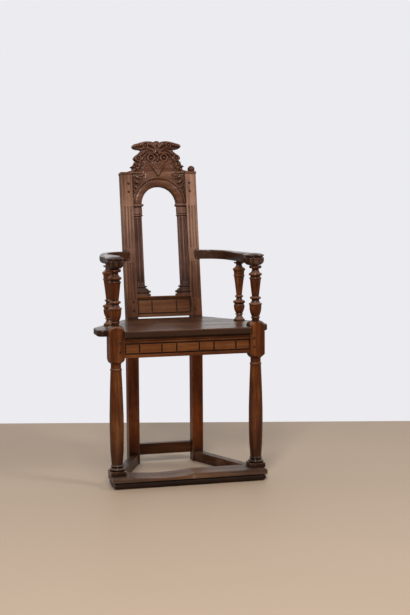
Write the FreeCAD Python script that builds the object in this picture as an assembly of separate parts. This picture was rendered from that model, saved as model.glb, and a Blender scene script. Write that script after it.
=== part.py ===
"""A joined and pegged oak caqueteuse: a narrow raked back with a pierced arch, a carved crest,
a seat that widens to the front, bowed arms on turned supports, and a low box of stretchers.

Millimetres. X runs across the chair, Y runs from front to back, Z is up.
While it is modelled, Y is zero at the front of the foot rail. Each piece is moved at the end,
so that the origin lies on the floor at the middle of the chair's box.
"""
import FreeCAD
import Part
import math
import os

V = FreeCAD.Vector

# Stance: how the posts stand on the floor
LEG_SPACING = 485.0
LEG_AXIS_Y = 57.0
BACK_FRONT_Y = 372.0
BACK_SPAN = 275.0

# Seat and its rails
SEAT_HEIGHT = 528.0
SEAT_THICKNESS = 22.0
SEAT_OVERHANG = 12.0
SEAT_NOSE = 4.0
EAR_OVERHANG = 54.5
EAR_FRONT_ROUND = 20.0
EAR_LENGTH = 82.0
SEAT_TAIL_OVERHANG = 10.0
RAIL_THICKNESS = 25.0
RAIL_SETBACK = 3.0
APRON_HEIGHT = 68.0
SIDE_RAIL_HEIGHT = 58.0
REAR_RAIL_SETBACK = 8.0

# Front posts: square block in the middle, turned above and below
BLOCK_SIZE = 51.0
BLOCK_RISE = 18.0
BLOCK_DROP = 20.0
BLOCK_SHOULDER = 16.0
BLOCK_TOP_SHOULDER = 22.0
PLINTH_SIZE = 53.5
PLINTH_HEIGHT = 15.0
LEG_RADIUS = 22.0
BALUSTER_RADIUS = 22.5
POST_TENON_RADIUS = 12.0
POST_TENON_LENGTH = 26.0
ARM_TENON_RADIUS = 8.0
ARM_TENON_LENGTH = 20.0

# Rear balusters that carry the arms behind the front posts
REAR_BALUSTER_INSET = 10.5
REAR_BALUSTER_BEHIND = 164.0
REAR_BALUSTER_RADIUS = 20.0
SEAT_TENON_LENGTH = 16.0

# Arms
ARM_TOP = 767.0
ARM_THICKNESS = 34.0
ARM_NOSE_ROUND = 9.0
ARM_CORNER_ROUND = 12.0
ARM_LAP = 15.0
ARM_TAIL_TENON = 20.0
ARM_TAIL_TENON_WIDTH = 14.0
ARM_TAIL_TENON_HEIGHT = 17.0

# Foot rail and stretchers
SILL_LENGTH = 535.0
SILL_DEPTH = 90.0
SILL_HEIGHT = 41.0
SILL_ROLL = 9.0
SILL_WEAR_X = -95.0
SILL_WEAR_LENGTH = 215.0
SILL_WEAR_DEPTH = 6.5
SILL_CHIP_RADIUS = 15.0
SILL_CHIP_X = 9.0
SILL_CHIP_BITE = 8.0
STRETCHER_WIDTH = 30.0
STRETCHER_HEIGHT = 33.0
STRETCHER_LIFT = 3.0
STRETCHER_FRONT_X = 238.0
REAR_STRETCHER_HEIGHT = 39.0
REAR_STRETCHER_LIFT = 33.0
REAR_STRETCHER_THICKNESS = 22.0
REAR_STRETCHER_SETBACK = 9.0

# Back: measured up the rake from the seat, and back from the face of the posts
POST_WIDTH = 39.5
POST_DEPTH = 40.0
POST_LENGTH = 516.0
BACK_RAKE_DEG = 9.4
BACK_RAIL_LIFT = 6.0
BACK_RAIL_HEIGHT = 73.0
BACK_RAIL_THICKNESS = 26.0
BACK_RAIL_SETBACK = 4.0
BACK_RAIL_CORNICE = 8.0
CORNICE_PROJECTION = 4.0
PILASTER_WIDTH = 31.0
PILASTER_THICKNESS = 22.0
PILASTER_SETBACK = 8.0
PILASTER_BASE_HEIGHT = 42.0
PILASTER_BASE_REACH = 19.0
PILASTER_CAPITAL_HEIGHT = 44.0
PILASTER_CAPITAL_REACH = 7.0
PILASTER_FRONT_REACH = 5.0
ARCH_RADIUS = 64.0
ARCHIVOLT_WIDTH = 30.0
ARCHIVOLT_RELIEF = 5.0
ARCH_CROWN_MARGIN = 12.0
PANEL_THICKNESS = 26.0
PANEL_SETBACK = 8.0
PANEL_TONGUE = 22.0
PANEL_TONGUE_THICKNESS = 9.0
CREST_HEIGHT = 123.0
CREST_HALF_WIDTH = 90.0
CREST_RELIEF = 4.0
CAP_HEIGHT = 10.0
CAP_OVERHANG = 1.5
FINIAL_RADIUS = 13.0
FINIAL_NECK_RADIUS = 8.0
FINIAL_TENON_RADIUS = 4.0
FINIAL_TENON_LENGTH = 14.0

# Worked ornament
FIELD_GROOVE = 5.0
FIELD_GROOVE_DEPTH = 3.0
SCRIBED_LINE = 2.0
POST_FLUTE_RADIUS = 3.0
POST_FLUTE_DEPTH = 1.5
POST_FLUTE_PITCH = 10.5
POST_FLUTE_MARGIN = 7.0
POST_FLUTE_DROP = 14.5
PILASTER_FLUTE_RADIUS = 4.0
PILASTER_FLUTE_DEPTH = 3.4
PILASTER_FLUTE_PITCH = 12.0

# Joinery
RAIL_TENON_LENGTH = 28.0
SHORT_TENON_LENGTH = 14.0
TENON_SHOULDER = 9.0
PEG_RADIUS = 4.0
PEG_LENGTH = 26.0
PEG_PROUD = 0.8
JOINT_PLAY = 0.2
END_PLAY = 1.0
CUT_OVERRUN = 5.0

# Shares that place small work on the piece that carries it
TENON_THICKNESS_SHARE = 0.34
LOWER_HALF_SHARE = 0.5
STRETCHER_TENON_SHARE = 0.8
STRETCHER_SHOULDER_SHARE = 0.25
ARM_LAP_FRONT_SHARE = 0.25
ARM_LAP_BACK_SHARE = 0.67
ARM_TENON_BACK_SHARE = 0.33
BLOCK_SWELL_SHARE = 0.33
ARCHIVOLT_FILLET_SHARE = 0.17
FIELD_LOW_SHARE = 0.20
FIELD_HIGH_SHARE = 0.69
SCRIBED_LINE_SHARE = 0.82
APRON_GROOVE_SHARES = (0.18, 0.415, 0.767)
BACK_GROOVE_SHARE = 0.46
BACK_FIELD_LOW_SHARE = 0.16
BACK_FIELD_HIGH_SHARE = 0.83
PEG_HEIGHT_SHARES = (0.30, 0.74)
PANEL_PEG_SHARES = (0.42, 0.70)
PILASTER_FLUTE_SHARES = (0.02, 0.98)

# Turned outlines: (height, radius at the end of the run, radius at its middle where it is an arc)
LEG_SHARES = (
    (0.0, 0.98, None),
    (0.0265, 0.98, 1.2),
    (0.037, 0.88, 0.86),
    (0.056, 0.88, 0.99),
    (0.064, 0.87, None),
    (0.52, 1.0, 0.97),
    (0.935, 0.79, 0.92),
    (0.958, 0.79, 0.88),
    (1.0, 0.79, None),
)
FRONT_BALUSTER_SHARES = (
    (0.0, 0.56, None),
    (0.042, 0.56, None),
    (0.073, 0.58, 0.70),
    (0.089, 0.62, 0.56),
    (0.278, 0.90, 0.86),
    (0.283, 0.80, None),
    (0.319, 0.80, 1.0),
    (0.377, 0.57, 0.63),
    (0.393, 0.60, None),
    (0.434, 0.60, 0.85),
    (0.461, 0.55, 0.54),
    (0.754, 0.83, 0.70),
    (0.79, 0.80, 0.92),
    (0.817, 0.78, 0.74),
    (0.869, 0.80, 1.0),
    (0.937, 0.52, 0.58),
    (0.953, 0.56, None),
    (1.0, 0.88, 0.94),
)
REAR_BALUSTER_SHARES = (
    (0.0, 0.88, None),
    (0.024, 0.88, None),
    (0.086, 0.41, 0.56),
    (0.1, 0.44, None),
    (0.12, 0.46, 0.62),
    (0.129, 0.50, None),
    (0.265, 0.87, 0.79),
    (0.282, 0.74, 0.77),
    (0.296, 0.80, None),
    (0.344, 0.72, 0.97),
    (0.378, 0.41, 0.47),
    (0.402, 0.45, None),
    (0.431, 0.48, 0.66),
    (0.45, 0.42, 0.42),
    (0.756, 0.80, 0.59),
    (0.785, 0.80, 0.90),
    (0.852, 0.85, 0.81),
    (0.904, 0.78, 1.0),
    (0.966, 0.42, 0.48),
    (0.976, 0.62, None),
    (1.0, 0.84, 0.80),
)
# Foot rail moulding: inset by the roll, height, and the middle of the run where it is an arc
SILL_SHARES = (
    (1.0, 0.0, None),
    (1.0, 0.10, None),
    (0.72, 0.50, (0.42, 0.30)),
    (0.95, 0.53, None),
    (0.95, 0.57, None),
    (0.12, 0.585, None),
    (0.0, 0.66, None),
    (0.0, 0.86, None),
    (0.60, 1.0, (0.13, 0.955)),
)
# Pilaster mouldings: height, and how far they stand out
PILASTER_BASE_SHARES = ((0.0, 1.0), (0.34, 1.0), (0.36, 0.86), (0.45, 0.98), (0.56, 0.98), (0.63, 0.80),
                        (0.68, 0.50), (0.80, 0.22), (0.82, 0.34), (0.93, 0.34), (1.0, 0.0))
PILASTER_CAPITAL_SHARES = ((0.0, 0.0), (0.04, 0.55), (0.12, 0.55), (0.16, 0.25), (0.72, 0.25), (0.78, 0.60),
                           (0.86, 1.0), (1.0, 1.0))
# Arm outline in plan: across from the back post to the front post, and back from the front post
ARM_INNER_SHARES = ((0.29, 0.953), (0.576, 0.888), (0.729, 0.79), (0.776, 0.62), (0.735, 0.367),
                    (0.69, 0.113), (0.69, -0.062))
ARM_OUTER_SHARES = ((1.26, -0.062), (1.275, 0.042), (1.20, 0.282), (1.119, 0.592), (1.033, 0.79),
                    (0.805, 0.936), (0.424, 1.021))
ARM_NOSE_SHARE = -0.1015
# Crest outline on one side: across by the crest's half width, and up by its height
CREST_FOOT_SHARES = ((1.25, 0.0), (1.2, 0.04), (1.09, 0.075), (1.01, 0.155))
CREST_LEAF_SHARES = ((1.087, 0.225), (0.98, 0.29), (0.88, 0.405))
CREST_SCROLL_SHARES = ((0.935, 0.475), (0.80, 0.595))
CREST_NECK_SHARES = ((0.70, 0.645), (0.64, 0.72))
CREST_WING_UNDER_SHARES = ((0.80, 0.735), (0.93, 0.76))
CREST_WING_TIP_SHARES = ((0.995, 0.815), (0.935, 0.87))
CREST_WING_TOP_SHARES = ((0.75, 0.925), (0.54, 0.97), (0.38, 0.985), (0.14, 0.965), (0.087, 0.955))
CREST_BUD_SHARE = 1.0
# Raised rounds of the crest: across, up, radius as a share of the half width
CREST_ROUND_SHARES = ((0.27, 0.50, 0.125), (0.79, 0.49, 0.10), (0.42, 0.86, 0.11))
FINIAL_OUT_SHARE = 0.21

# Sizes that follow from the ones above
LEG_X = LEG_SPACING / 2
EAR_REACH = LEG_X + EAR_OVERHANG
REAR_BALUSTER_X = LEG_X - REAR_BALUSTER_INSET
REAR_BALUSTER_Y = LEG_AXIS_Y + REAR_BALUSTER_BEHIND
SEAT_UNDER = SEAT_HEIGHT - SEAT_THICKNESS
APRON_BOTTOM = SEAT_UNDER - APRON_HEIGHT
BLOCK_BOTTOM = APRON_BOTTOM - BLOCK_DROP
BLOCK_TOP = SEAT_HEIGHT + BLOCK_RISE
BLOCK_HALF = BLOCK_SIZE / 2
BLOCK_FRONT_Y = LEG_AXIS_Y - BLOCK_HALF
BLOCK_BACK_Y = LEG_AXIS_Y + BLOCK_HALF
ARM_UNDER = ARM_TOP - ARM_THICKNESS
POST_OUTER_X = BACK_SPAN / 2
SEAT_TAIL_REACH = POST_OUTER_X + SEAT_TAIL_OVERHANG
POST_INNER_X = POST_OUTER_X - POST_WIDTH
POST_MIDDLE_X = POST_OUTER_X - POST_WIDTH / 2
FINIAL_X = POST_MIDDLE_X + POST_WIDTH * FINIAL_OUT_SHARE
RAKE = math.radians(BACK_RAKE_DEG)
BACK_AT_ARM_Y = BACK_FRONT_Y + (ARM_TOP - SEAT_HEIGHT) * math.tan(RAKE)
BACK_RAIL_TOP = BACK_RAIL_LIFT + BACK_RAIL_HEIGHT
ARCH_OUTER_RADIUS = ARCH_RADIUS + ARCHIVOLT_WIDTH
ARCH_SPRING = POST_LENGTH - ARCH_CROWN_MARGIN - ARCH_OUTER_RADIUS
CREST_TOP = POST_LENGTH + CREST_HEIGHT
ARM_UNDER_RISE = (ARM_UNDER - SEAT_HEIGHT) / math.cos(RAKE)
ARM_TOP_RISE = (ARM_TOP - SEAT_HEIGHT) / math.cos(RAKE)
LOWER_FLUTES = (BACK_RAIL_TOP - POST_FLUTE_DROP, ARM_UNDER_RISE - POST_FLUTE_MARGIN)
UPPER_FLUTES = (ARM_TOP_RISE + POST_FLUTE_MARGIN, ARCH_SPRING - POST_FLUTE_MARGIN)
PANEL_BACK = PANEL_SETBACK + PANEL_THICKNESS
RAIL_TENON_THICKNESS = RAIL_THICKNESS * TENON_THICKNESS_SHARE
OVERALL_DEPTH = BACK_FRONT_Y + CREST_TOP * math.sin(RAKE) + PANEL_BACK * math.cos(RAKE)

UP = V(0, 0, 1)
BACKWARD = V(0, 1, 0)
ACROSS = V(1, 0, 0)
ORIGIN = V(0, 0, 0)
FULL_TURN = 360


# General helpers


def block(x_range, y_range, z_range):
    """A square-cornered solid between pairs of coordinates."""
    low = V(min(x_range), min(y_range), min(z_range))
    size = V(abs(x_range[1] - x_range[0]), abs(y_range[1] - y_range[0]), abs(z_range[1] - z_range[0]))
    return Part.makeBox(size.x, size.y, size.z, low)


def grown(span, play):
    """A pair of coordinates, moved apart by the play at each end."""
    return (min(span) - play, max(span) + play)


def plan_prism(points, z_range):
    """A polygon in plan, raised between two heights."""
    corners = [V(x, y, z_range[0]) for x, y in points]
    return Part.Face(Part.makePolygon(corners + corners[:1])).extrude(UP * (z_range[1] - z_range[0]))


def line(start, end):
    return Part.LineSegment(start, end).toShape()


def arc(start, middle, end):
    return Part.Arc(start, middle, end).toShape()


def spline(points):
    curve = Part.BSplineCurve()
    curve.interpolate(points)
    return curve.toShape()


def turned(shares, foot, height, radius, axis_x, axis_y):
    """A lathe-turned solid from an outline of height and radius shares."""
    start = V(0, 0, foot)
    here = V(shares[0][1] * radius, 0, foot + shares[0][0] * height)
    edges = [line(start, here)]
    for rise, reach, middle in shares[1:]:
        there = V(reach * radius, 0, foot + rise * height)
        if middle is None:
            edges.append(line(here, there))
        else:
            edges.append(arc(here, V(middle * radius, 0, (here.z + there.z) / 2), there))
        here = there
    top = V(0, 0, here.z)
    edges += [line(here, top), line(top, start)]
    solid = Part.Face(Part.Wire(edges)).revolve(ORIGIN, UP, FULL_TURN)
    return solid.translated(V(axis_x, axis_y, 0))


def rod(radius, foot, length, direction):
    return Part.makeCylinder(radius, length, foot, direction)


def raked(shape):
    """Leans a piece of the back, modelled upright at the origin, onto the rake of the posts."""
    return shape.rotated(ORIGIN, ACROSS, -BACK_RAKE_DEG).translated(V(0, BACK_FRONT_Y, SEAT_HEIGHT))


def mirrored(shape):
    return shape.mirror(ORIGIN, ACROSS)


def joined(pieces):
    return pieces[0].fuse(pieces[1:]).removeSplitter()


# Pegs: each one is driven from a face, through the cheek of a mortise and its tenon


def peg(x, height, face_y, play=0.0):
    """A peg from the front face backwards; with play it is the hole that the peg fills."""
    foot = V(x, face_y - PEG_PROUD, height)
    return rod(PEG_RADIUS + play, foot, PEG_PROUD + PEG_LENGTH + play, BACKWARD)


def peg_sites(low, high, shares):
    return [low + (high - low) * share for share in shares]


# Front rail, side rails and rear rail under the seat

APRON_HALF = LEG_X - BLOCK_HALF
APRON_FRONT_Y = BLOCK_FRONT_Y + RAIL_SETBACK
APRON_TENON_MIDDLE_Y = APRON_FRONT_Y + RAIL_THICKNESS / 2


def apron_tenon(play=0.0, end_play=0.0):
    half = RAIL_TENON_THICKNESS / 2
    return block((APRON_HALF - JOINT_PLAY, APRON_HALF + RAIL_TENON_LENGTH + end_play),
                 grown((APRON_TENON_MIDDLE_Y - half, APRON_TENON_MIDDLE_Y + half), play),
                 grown((APRON_BOTTOM + TENON_SHOULDER, SEAT_UNDER - TENON_SHOULDER), play))


def apron_pegs(play=0.0):
    sites = peg_sites(APRON_BOTTOM, SEAT_UNDER, PEG_HEIGHT_SHARES)
    x = APRON_HALF + RAIL_TENON_LENGTH / 2
    return [peg(x, height, BLOCK_FRONT_Y, play) for height in sites]


def field_grooves(half, low, high, places, face_y, line_height=None):
    """Grooves that part a rail's face into raised fields."""
    depth = (face_y - CUT_OVERRUN, face_y + FIELD_GROOVE_DEPTH)
    g = FIELD_GROOVE / 2
    along = (-half - CUT_OVERRUN, half + CUT_OVERRUN)
    cuts = [block(along, depth, (level - g, level + g)) for level in (low, high)]
    for place in places:
        cuts += [block((side * place - g, side * place + g), depth, (low, high)) for side in (-1, 1)]
    if line_height is not None:
        s = SCRIBED_LINE / 2
        shallow = (face_y - CUT_OVERRUN, face_y + SCRIBED_LINE)
        cuts.append(block(along, shallow, (line_height - s, line_height + s)))
    return cuts


def make_front_rail():
    rail = block((-APRON_HALF, APRON_HALF), (APRON_FRONT_Y, APRON_FRONT_Y + RAIL_THICKNESS),
                 (APRON_BOTTOM, SEAT_UNDER))
    low = APRON_BOTTOM + APRON_HEIGHT * FIELD_LOW_SHARE
    high = APRON_BOTTOM + APRON_HEIGHT * FIELD_HIGH_SHARE
    places = [APRON_HALF * share for share in APRON_GROOVE_SHARES] + [APRON_HALF - FIELD_GROOVE / 2]
    scribed = APRON_BOTTOM + APRON_HEIGHT * SCRIBED_LINE_SHARE
    rail = rail.cut(field_grooves(APRON_HALF, low, high, places, APRON_FRONT_Y, scribed))
    tenon = apron_tenon()
    rail = joined([rail, tenon, mirrored(tenon)])
    holes = apron_pegs(JOINT_PLAY)
    return rail.cut(holes + [mirrored(hole) for hole in holes])


def slanted_bar(front_x, front_y, back_x, back_y, width, z_range, front_tenon=0.0, back_tenon=0.0):
    """A bar between two planes across the chair, cut off square to the chair at both ends."""
    slope = (back_x - front_x) / (back_y - front_y)
    y0, y1 = front_y - front_tenon, back_y + back_tenon
    x0, x1 = front_x - front_tenon * slope, back_x + back_tenon * slope
    half = width / 2
    return plan_prism([(x0 - half, y0), (x0 + half, y0), (x1 + half, y1), (x1 - half, y1)], z_range)


SIDE_RAIL_BOTTOM = SEAT_UNDER - SIDE_RAIL_HEIGHT
SIDE_RAIL_MIDDLE = SEAT_UNDER - SIDE_RAIL_HEIGHT * LOWER_HALF_SHARE


def side_rail_tenons(play=0.0, end_play=0.0):
    """The bar of both tenons, in the lower half of the rail, clear of the tenons beside them."""
    span = grown((SIDE_RAIL_BOTTOM + TENON_SHOULDER, SIDE_RAIL_MIDDLE), play)
    reach = SHORT_TENON_LENGTH + end_play
    return slanted_bar(LEG_X, BLOCK_BACK_Y, POST_MIDDLE_X, BACK_FRONT_Y, RAIL_TENON_THICKNESS + 2 * play,
                       span, reach, reach)


def make_side_rail():
    rail = slanted_bar(LEG_X, BLOCK_BACK_Y, POST_MIDDLE_X, BACK_FRONT_Y, RAIL_THICKNESS,
                       (SIDE_RAIL_BOTTOM, SEAT_UNDER))
    return joined([rail, side_rail_tenons()])


REAR_RAIL_FRONT_Y = BACK_FRONT_Y + REAR_RAIL_SETBACK
REAR_RAIL_MIDDLE_Y = REAR_RAIL_FRONT_Y + RAIL_THICKNESS / 2


def rear_rail_tenon(play=0.0, end_play=0.0):
    """In the upper half of the rail, above the side rail's tenon in the same post."""
    half = RAIL_TENON_THICKNESS / 2
    low = SIDE_RAIL_MIDDLE + JOINT_PLAY + END_PLAY
    return block((POST_INNER_X - JOINT_PLAY, POST_INNER_X + RAIL_TENON_LENGTH + end_play),
                 grown((REAR_RAIL_MIDDLE_Y - half, REAR_RAIL_MIDDLE_Y + half), play),
                 grown((low, SEAT_UNDER - TENON_SHOULDER), play))


def make_rear_rail():
    rail = block((-POST_INNER_X, POST_INNER_X), (REAR_RAIL_FRONT_Y, REAR_RAIL_FRONT_Y + RAIL_THICKNESS),
                 (SIDE_RAIL_BOTTOM, SEAT_UNDER))
    tenon = rear_rail_tenon()
    return joined([rail, tenon, mirrored(tenon)])


# Front posts: plinth, leg, square block and arm support, turned from one length

LEG_FOOT = SILL_HEIGHT + PLINTH_HEIGHT


def post_block():
    """The square of the post, its ends cut round by the lathe."""
    corner = BLOCK_HALF * math.sqrt(2) + JOINT_PLAY
    neck = LEG_RADIUS * LEG_SHARES[-1][1]
    top_neck = BALUSTER_RADIUS * FRONT_BALUSTER_SHARES[0][1]
    below = BLOCK_BOTTOM + BLOCK_SHOULDER
    above = BLOCK_TOP - BLOCK_TOP_SHOULDER
    swell = V(corner, 0, BLOCK_TOP) * BLOCK_SWELL_SHARE
    swell += (V(top_neck, 0, BLOCK_TOP) + V(corner, 0, above)) * ((1 - BLOCK_SWELL_SHARE) / 2)
    outline = [
        line(V(0, 0, BLOCK_BOTTOM), V(neck, 0, BLOCK_BOTTOM)),
        line(V(neck, 0, BLOCK_BOTTOM), V(corner, 0, below)),
        line(V(corner, 0, below), V(corner, 0, above)),
        arc(V(corner, 0, above), swell, V(top_neck, 0, BLOCK_TOP)),
        line(V(top_neck, 0, BLOCK_TOP), V(0, 0, BLOCK_TOP)),
        line(V(0, 0, BLOCK_TOP), V(0, 0, BLOCK_BOTTOM)),
    ]
    round_block = Part.Face(Part.Wire(outline)).revolve(ORIGIN, UP, FULL_TURN)
    square = block((LEG_X - BLOCK_HALF, LEG_X + BLOCK_HALF), (BLOCK_FRONT_Y, BLOCK_BACK_Y),
                   (BLOCK_BOTTOM, BLOCK_TOP))
    return round_block.translated(V(LEG_X, LEG_AXIS_Y, 0)).common(square)


def post_foot_tenon(play=0.0, end_play=0.0):
    foot = V(LEG_X, LEG_AXIS_Y, SILL_HEIGHT - POST_TENON_LENGTH - end_play)
    return rod(POST_TENON_RADIUS + play, foot, POST_TENON_LENGTH + end_play, UP)


def arm_tenon(x, y, play=0.0, end_play=0.0):
    return rod(ARM_TENON_RADIUS + play, V(x, y, ARM_UNDER), ARM_TENON_LENGTH + end_play, UP)


def make_front_post():
    half = PLINTH_SIZE / 2
    plinth = block((LEG_X - half, LEG_X + half), (LEG_AXIS_Y - half, LEG_AXIS_Y + half),
                   (SILL_HEIGHT, LEG_FOOT))
    leg = turned(LEG_SHARES, LEG_FOOT, BLOCK_BOTTOM - LEG_FOOT, LEG_RADIUS, LEG_X, LEG_AXIS_Y)
    support = turned(FRONT_BALUSTER_SHARES, BLOCK_TOP, ARM_UNDER - BLOCK_TOP, BALUSTER_RADIUS,
                     LEG_X, LEG_AXIS_Y)
    tenons = [post_foot_tenon(), arm_tenon(LEG_X, LEG_AXIS_Y)]
    post = joined([plinth, leg, post_block(), support] + tenons)
    mortises = [apron_tenon(JOINT_PLAY, END_PLAY), side_rail_tenons(JOINT_PLAY, END_PLAY)]
    return post.cut(mortises + apron_pegs(JOINT_PLAY))


# Foot rail: a moulded sill that the front posts stand on, hollowed by feet


def sill_outline(place):
    """The moulded front or end of the foot rail: a band set back, a roll, a quirk and a fillet."""
    points = [place(inset * SILL_ROLL, rise * SILL_HEIGHT) for inset, rise, _ in SILL_SHARES]
    edges = []
    for here, there, (_, _, bulge) in zip(points, points[1:], SILL_SHARES[1:]):
        if bulge is None:
            edges.append(line(here, there))
        else:
            edges.append(arc(here, place(bulge[0] * SILL_ROLL, bulge[1] * SILL_HEIGHT), there))
    return points[0], points[-1], edges


def make_foot_rail():
    half = SILL_LENGTH / 2
    first, last, edges = sill_outline(lambda inset, z: V(-half, inset, z))
    back = [V(-half, SILL_DEPTH, SILL_HEIGHT), V(-half, SILL_DEPTH, 0)]
    edges += [line(last, back[0]), line(back[0], back[1]), line(back[1], first)]
    along = Part.Face(Part.Wire(edges)).extrude(ACROSS * SILL_LENGTH)

    first, last, edges = sill_outline(lambda inset, z: V(inset - half, 0, z))
    edges += [mirrored(edge) for edge in edges]
    edges += [line(last, V(-last.x, 0, last.z)), line(V(-first.x, 0, 0), first)]
    across = Part.Face(Part.Wire(Part.__sortEdges__(edges))).extrude(BACKWARD * SILL_DEPTH)

    wear_radius = SILL_WEAR_LENGTH ** 2 / (8 * SILL_WEAR_DEPTH) + SILL_WEAR_DEPTH / 2
    wear_axis = V(SILL_WEAR_X, -CUT_OVERRUN, SILL_HEIGHT - SILL_WEAR_DEPTH + wear_radius)
    wear = rod(wear_radius, wear_axis, SILL_DEPTH + 2 * CUT_OVERRUN, BACKWARD)
    chip = Part.makeSphere(SILL_CHIP_RADIUS, V(SILL_CHIP_X, SILL_CHIP_BITE - SILL_CHIP_RADIUS, SILL_HEIGHT))
    foot_mortise = post_foot_tenon(JOINT_PLAY, END_PLAY)
    side_mortise = stretcher_tenons(JOINT_PLAY, END_PLAY)
    cuts = [wear, chip, foot_mortise, mirrored(foot_mortise), side_mortise, mirrored(side_mortise)]
    return along.common(across).cut(cuts)


# Stretchers near the floor

STRETCHER_TENON = (SILL_DEPTH - LEG_AXIS_Y - POST_TENON_RADIUS) * STRETCHER_TENON_SHARE
STRETCHER_TOP = STRETCHER_LIFT + STRETCHER_HEIGHT


def stretcher_tenons(play=0.0, end_play=0.0):
    shoulder = STRETCHER_HEIGHT * STRETCHER_SHOULDER_SHARE
    span = grown((STRETCHER_LIFT + shoulder, STRETCHER_TOP - shoulder), play)
    reach = STRETCHER_TENON + end_play
    width = STRETCHER_WIDTH * TENON_THICKNESS_SHARE + 2 * play
    return slanted_bar(STRETCHER_FRONT_X, SILL_DEPTH, POST_MIDDLE_X, BACK_FRONT_Y, width, span, reach, reach)


def make_side_stretcher():
    bar = slanted_bar(STRETCHER_FRONT_X, SILL_DEPTH, POST_MIDDLE_X, BACK_FRONT_Y, STRETCHER_WIDTH,
                      (STRETCHER_LIFT, STRETCHER_TOP))
    return joined([bar, stretcher_tenons()])


REAR_STRETCHER_Y = BACK_FRONT_Y + REAR_STRETCHER_SETBACK
REAR_STRETCHER_TOP = REAR_STRETCHER_LIFT + REAR_STRETCHER_HEIGHT


def rear_stretcher_tenon(play=0.0, end_play=0.0):
    half = REAR_STRETCHER_THICKNESS * TENON_THICKNESS_SHARE / 2
    middle = REAR_STRETCHER_Y + REAR_STRETCHER_THICKNESS / 2
    low = max(REAR_STRETCHER_LIFT + TENON_SHOULDER, STRETCHER_TOP + END_PLAY)
    return block((POST_INNER_X - JOINT_PLAY, POST_INNER_X + RAIL_TENON_LENGTH + end_play),
                 grown((middle - half, middle + half), play),
                 grown((low, REAR_STRETCHER_TOP - TENON_SHOULDER), play))


def make_rear_stretcher():
    bar = block((-POST_INNER_X, POST_INNER_X),
                (REAR_STRETCHER_Y, REAR_STRETCHER_Y + REAR_STRETCHER_THICKNESS),
                (REAR_STRETCHER_LIFT, REAR_STRETCHER_TOP))
    tenon = rear_stretcher_tenon()
    return joined([bar, tenon, mirrored(tenon)])


# Back posts: upright to the seat, then leaning, fluted on the face


def flute(x, span, face, radius, depth):
    """A round-ended channel up the face of a post or pilaster."""
    axis = face - radius + depth
    ends = [V(x, axis, span[0] + radius), V(x, axis, span[1] - radius)]
    shaft = rod(radius, ends[0], ends[1].z - ends[0].z, UP)
    return shaft.fuse([Part.makeSphere(radius, end) for end in ends])


def post_blank():
    """The sawn post, cranked at the seat, before any joint is cut in it."""
    crank = POST_DEPTH * math.tan(RAKE / 2)
    sin, cos = math.sin(RAKE), math.cos(RAKE)
    top = V(POST_INNER_X, BACK_FRONT_Y + POST_LENGTH * sin, SEAT_HEIGHT + POST_LENGTH * cos)
    outline = [
        V(POST_INNER_X, BACK_FRONT_Y, 0),
        V(POST_INNER_X, BACK_FRONT_Y, SEAT_HEIGHT),
        top,
        top + V(0, POST_DEPTH * cos, -POST_DEPTH * sin),
        V(POST_INNER_X, BACK_FRONT_Y + POST_DEPTH, SEAT_HEIGHT - crank),
        V(POST_INNER_X, BACK_FRONT_Y + POST_DEPTH, 0),
    ]
    return Part.Face(Part.makePolygon(outline + outline[:1])).extrude(ACROSS * POST_WIDTH)


def make_back_post():
    flutes = []
    for span in (LOWER_FLUTES, UPPER_FLUTES):
        for step in (-1, 0, 1):
            x = POST_MIDDLE_X + step * POST_FLUTE_PITCH
            flutes.append(raked(flute(x, span, 0, POST_FLUTE_RADIUS, POST_FLUTE_DEPTH)))
    mortises = [
        side_rail_tenons(JOINT_PLAY, END_PLAY),
        rear_rail_tenon(JOINT_PLAY, END_PLAY),
        stretcher_tenons(JOINT_PLAY, END_PLAY),
        rear_stretcher_tenon(JOINT_PLAY, END_PLAY),
        arm_tail_tenon(JOINT_PLAY, END_PLAY),
        raked(back_rail_tenon(JOINT_PLAY, END_PLAY)),
        raked(panel_tongue(JOINT_PLAY, END_PLAY)),
    ]
    holes = [raked(hole) for hole in back_rail_pegs(JOINT_PLAY) + panel_pegs(JOINT_PLAY)]
    return post_blank().cut(flutes + mortises + holes)


# Arms: sawn to a bow, lapped and tenoned to the back posts


def arm_point(share_x, share_y):
    """A point of the arm's outline, between the back post and the front post."""
    x = POST_OUTER_X + (LEG_X - POST_OUTER_X) * share_x
    y = LEG_AXIS_Y + (BACK_AT_ARM_Y - LEG_AXIS_Y) * share_y
    return V(x, y, ARM_UNDER)


def arm_tail_tenon(play=0.0, end_play=0.0):
    middle_y = BACK_AT_ARM_Y + POST_DEPTH * ARM_TENON_BACK_SHARE
    half = ARM_TAIL_TENON_WIDTH / 2
    middle_z = (ARM_TOP + ARM_UNDER) / 2
    rise = ARM_TAIL_TENON_HEIGHT / 2
    return block((POST_OUTER_X - ARM_TAIL_TENON - end_play, POST_OUTER_X + JOINT_PLAY),
                 grown((middle_y - half, middle_y + half), play),
                 grown((middle_z - rise, middle_z + rise), play))


def is_arm_corner(edge, corners):
    """The upright arrises where the sides of the arm meet its nose."""
    middle = edge.BoundBox.Center
    upright = edge.BoundBox.ZLength > ARM_THICKNESS / 2
    return upright and any(math.hypot(middle.x - c.x, middle.y - c.y) < JOINT_PLAY for c in corners)


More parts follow.
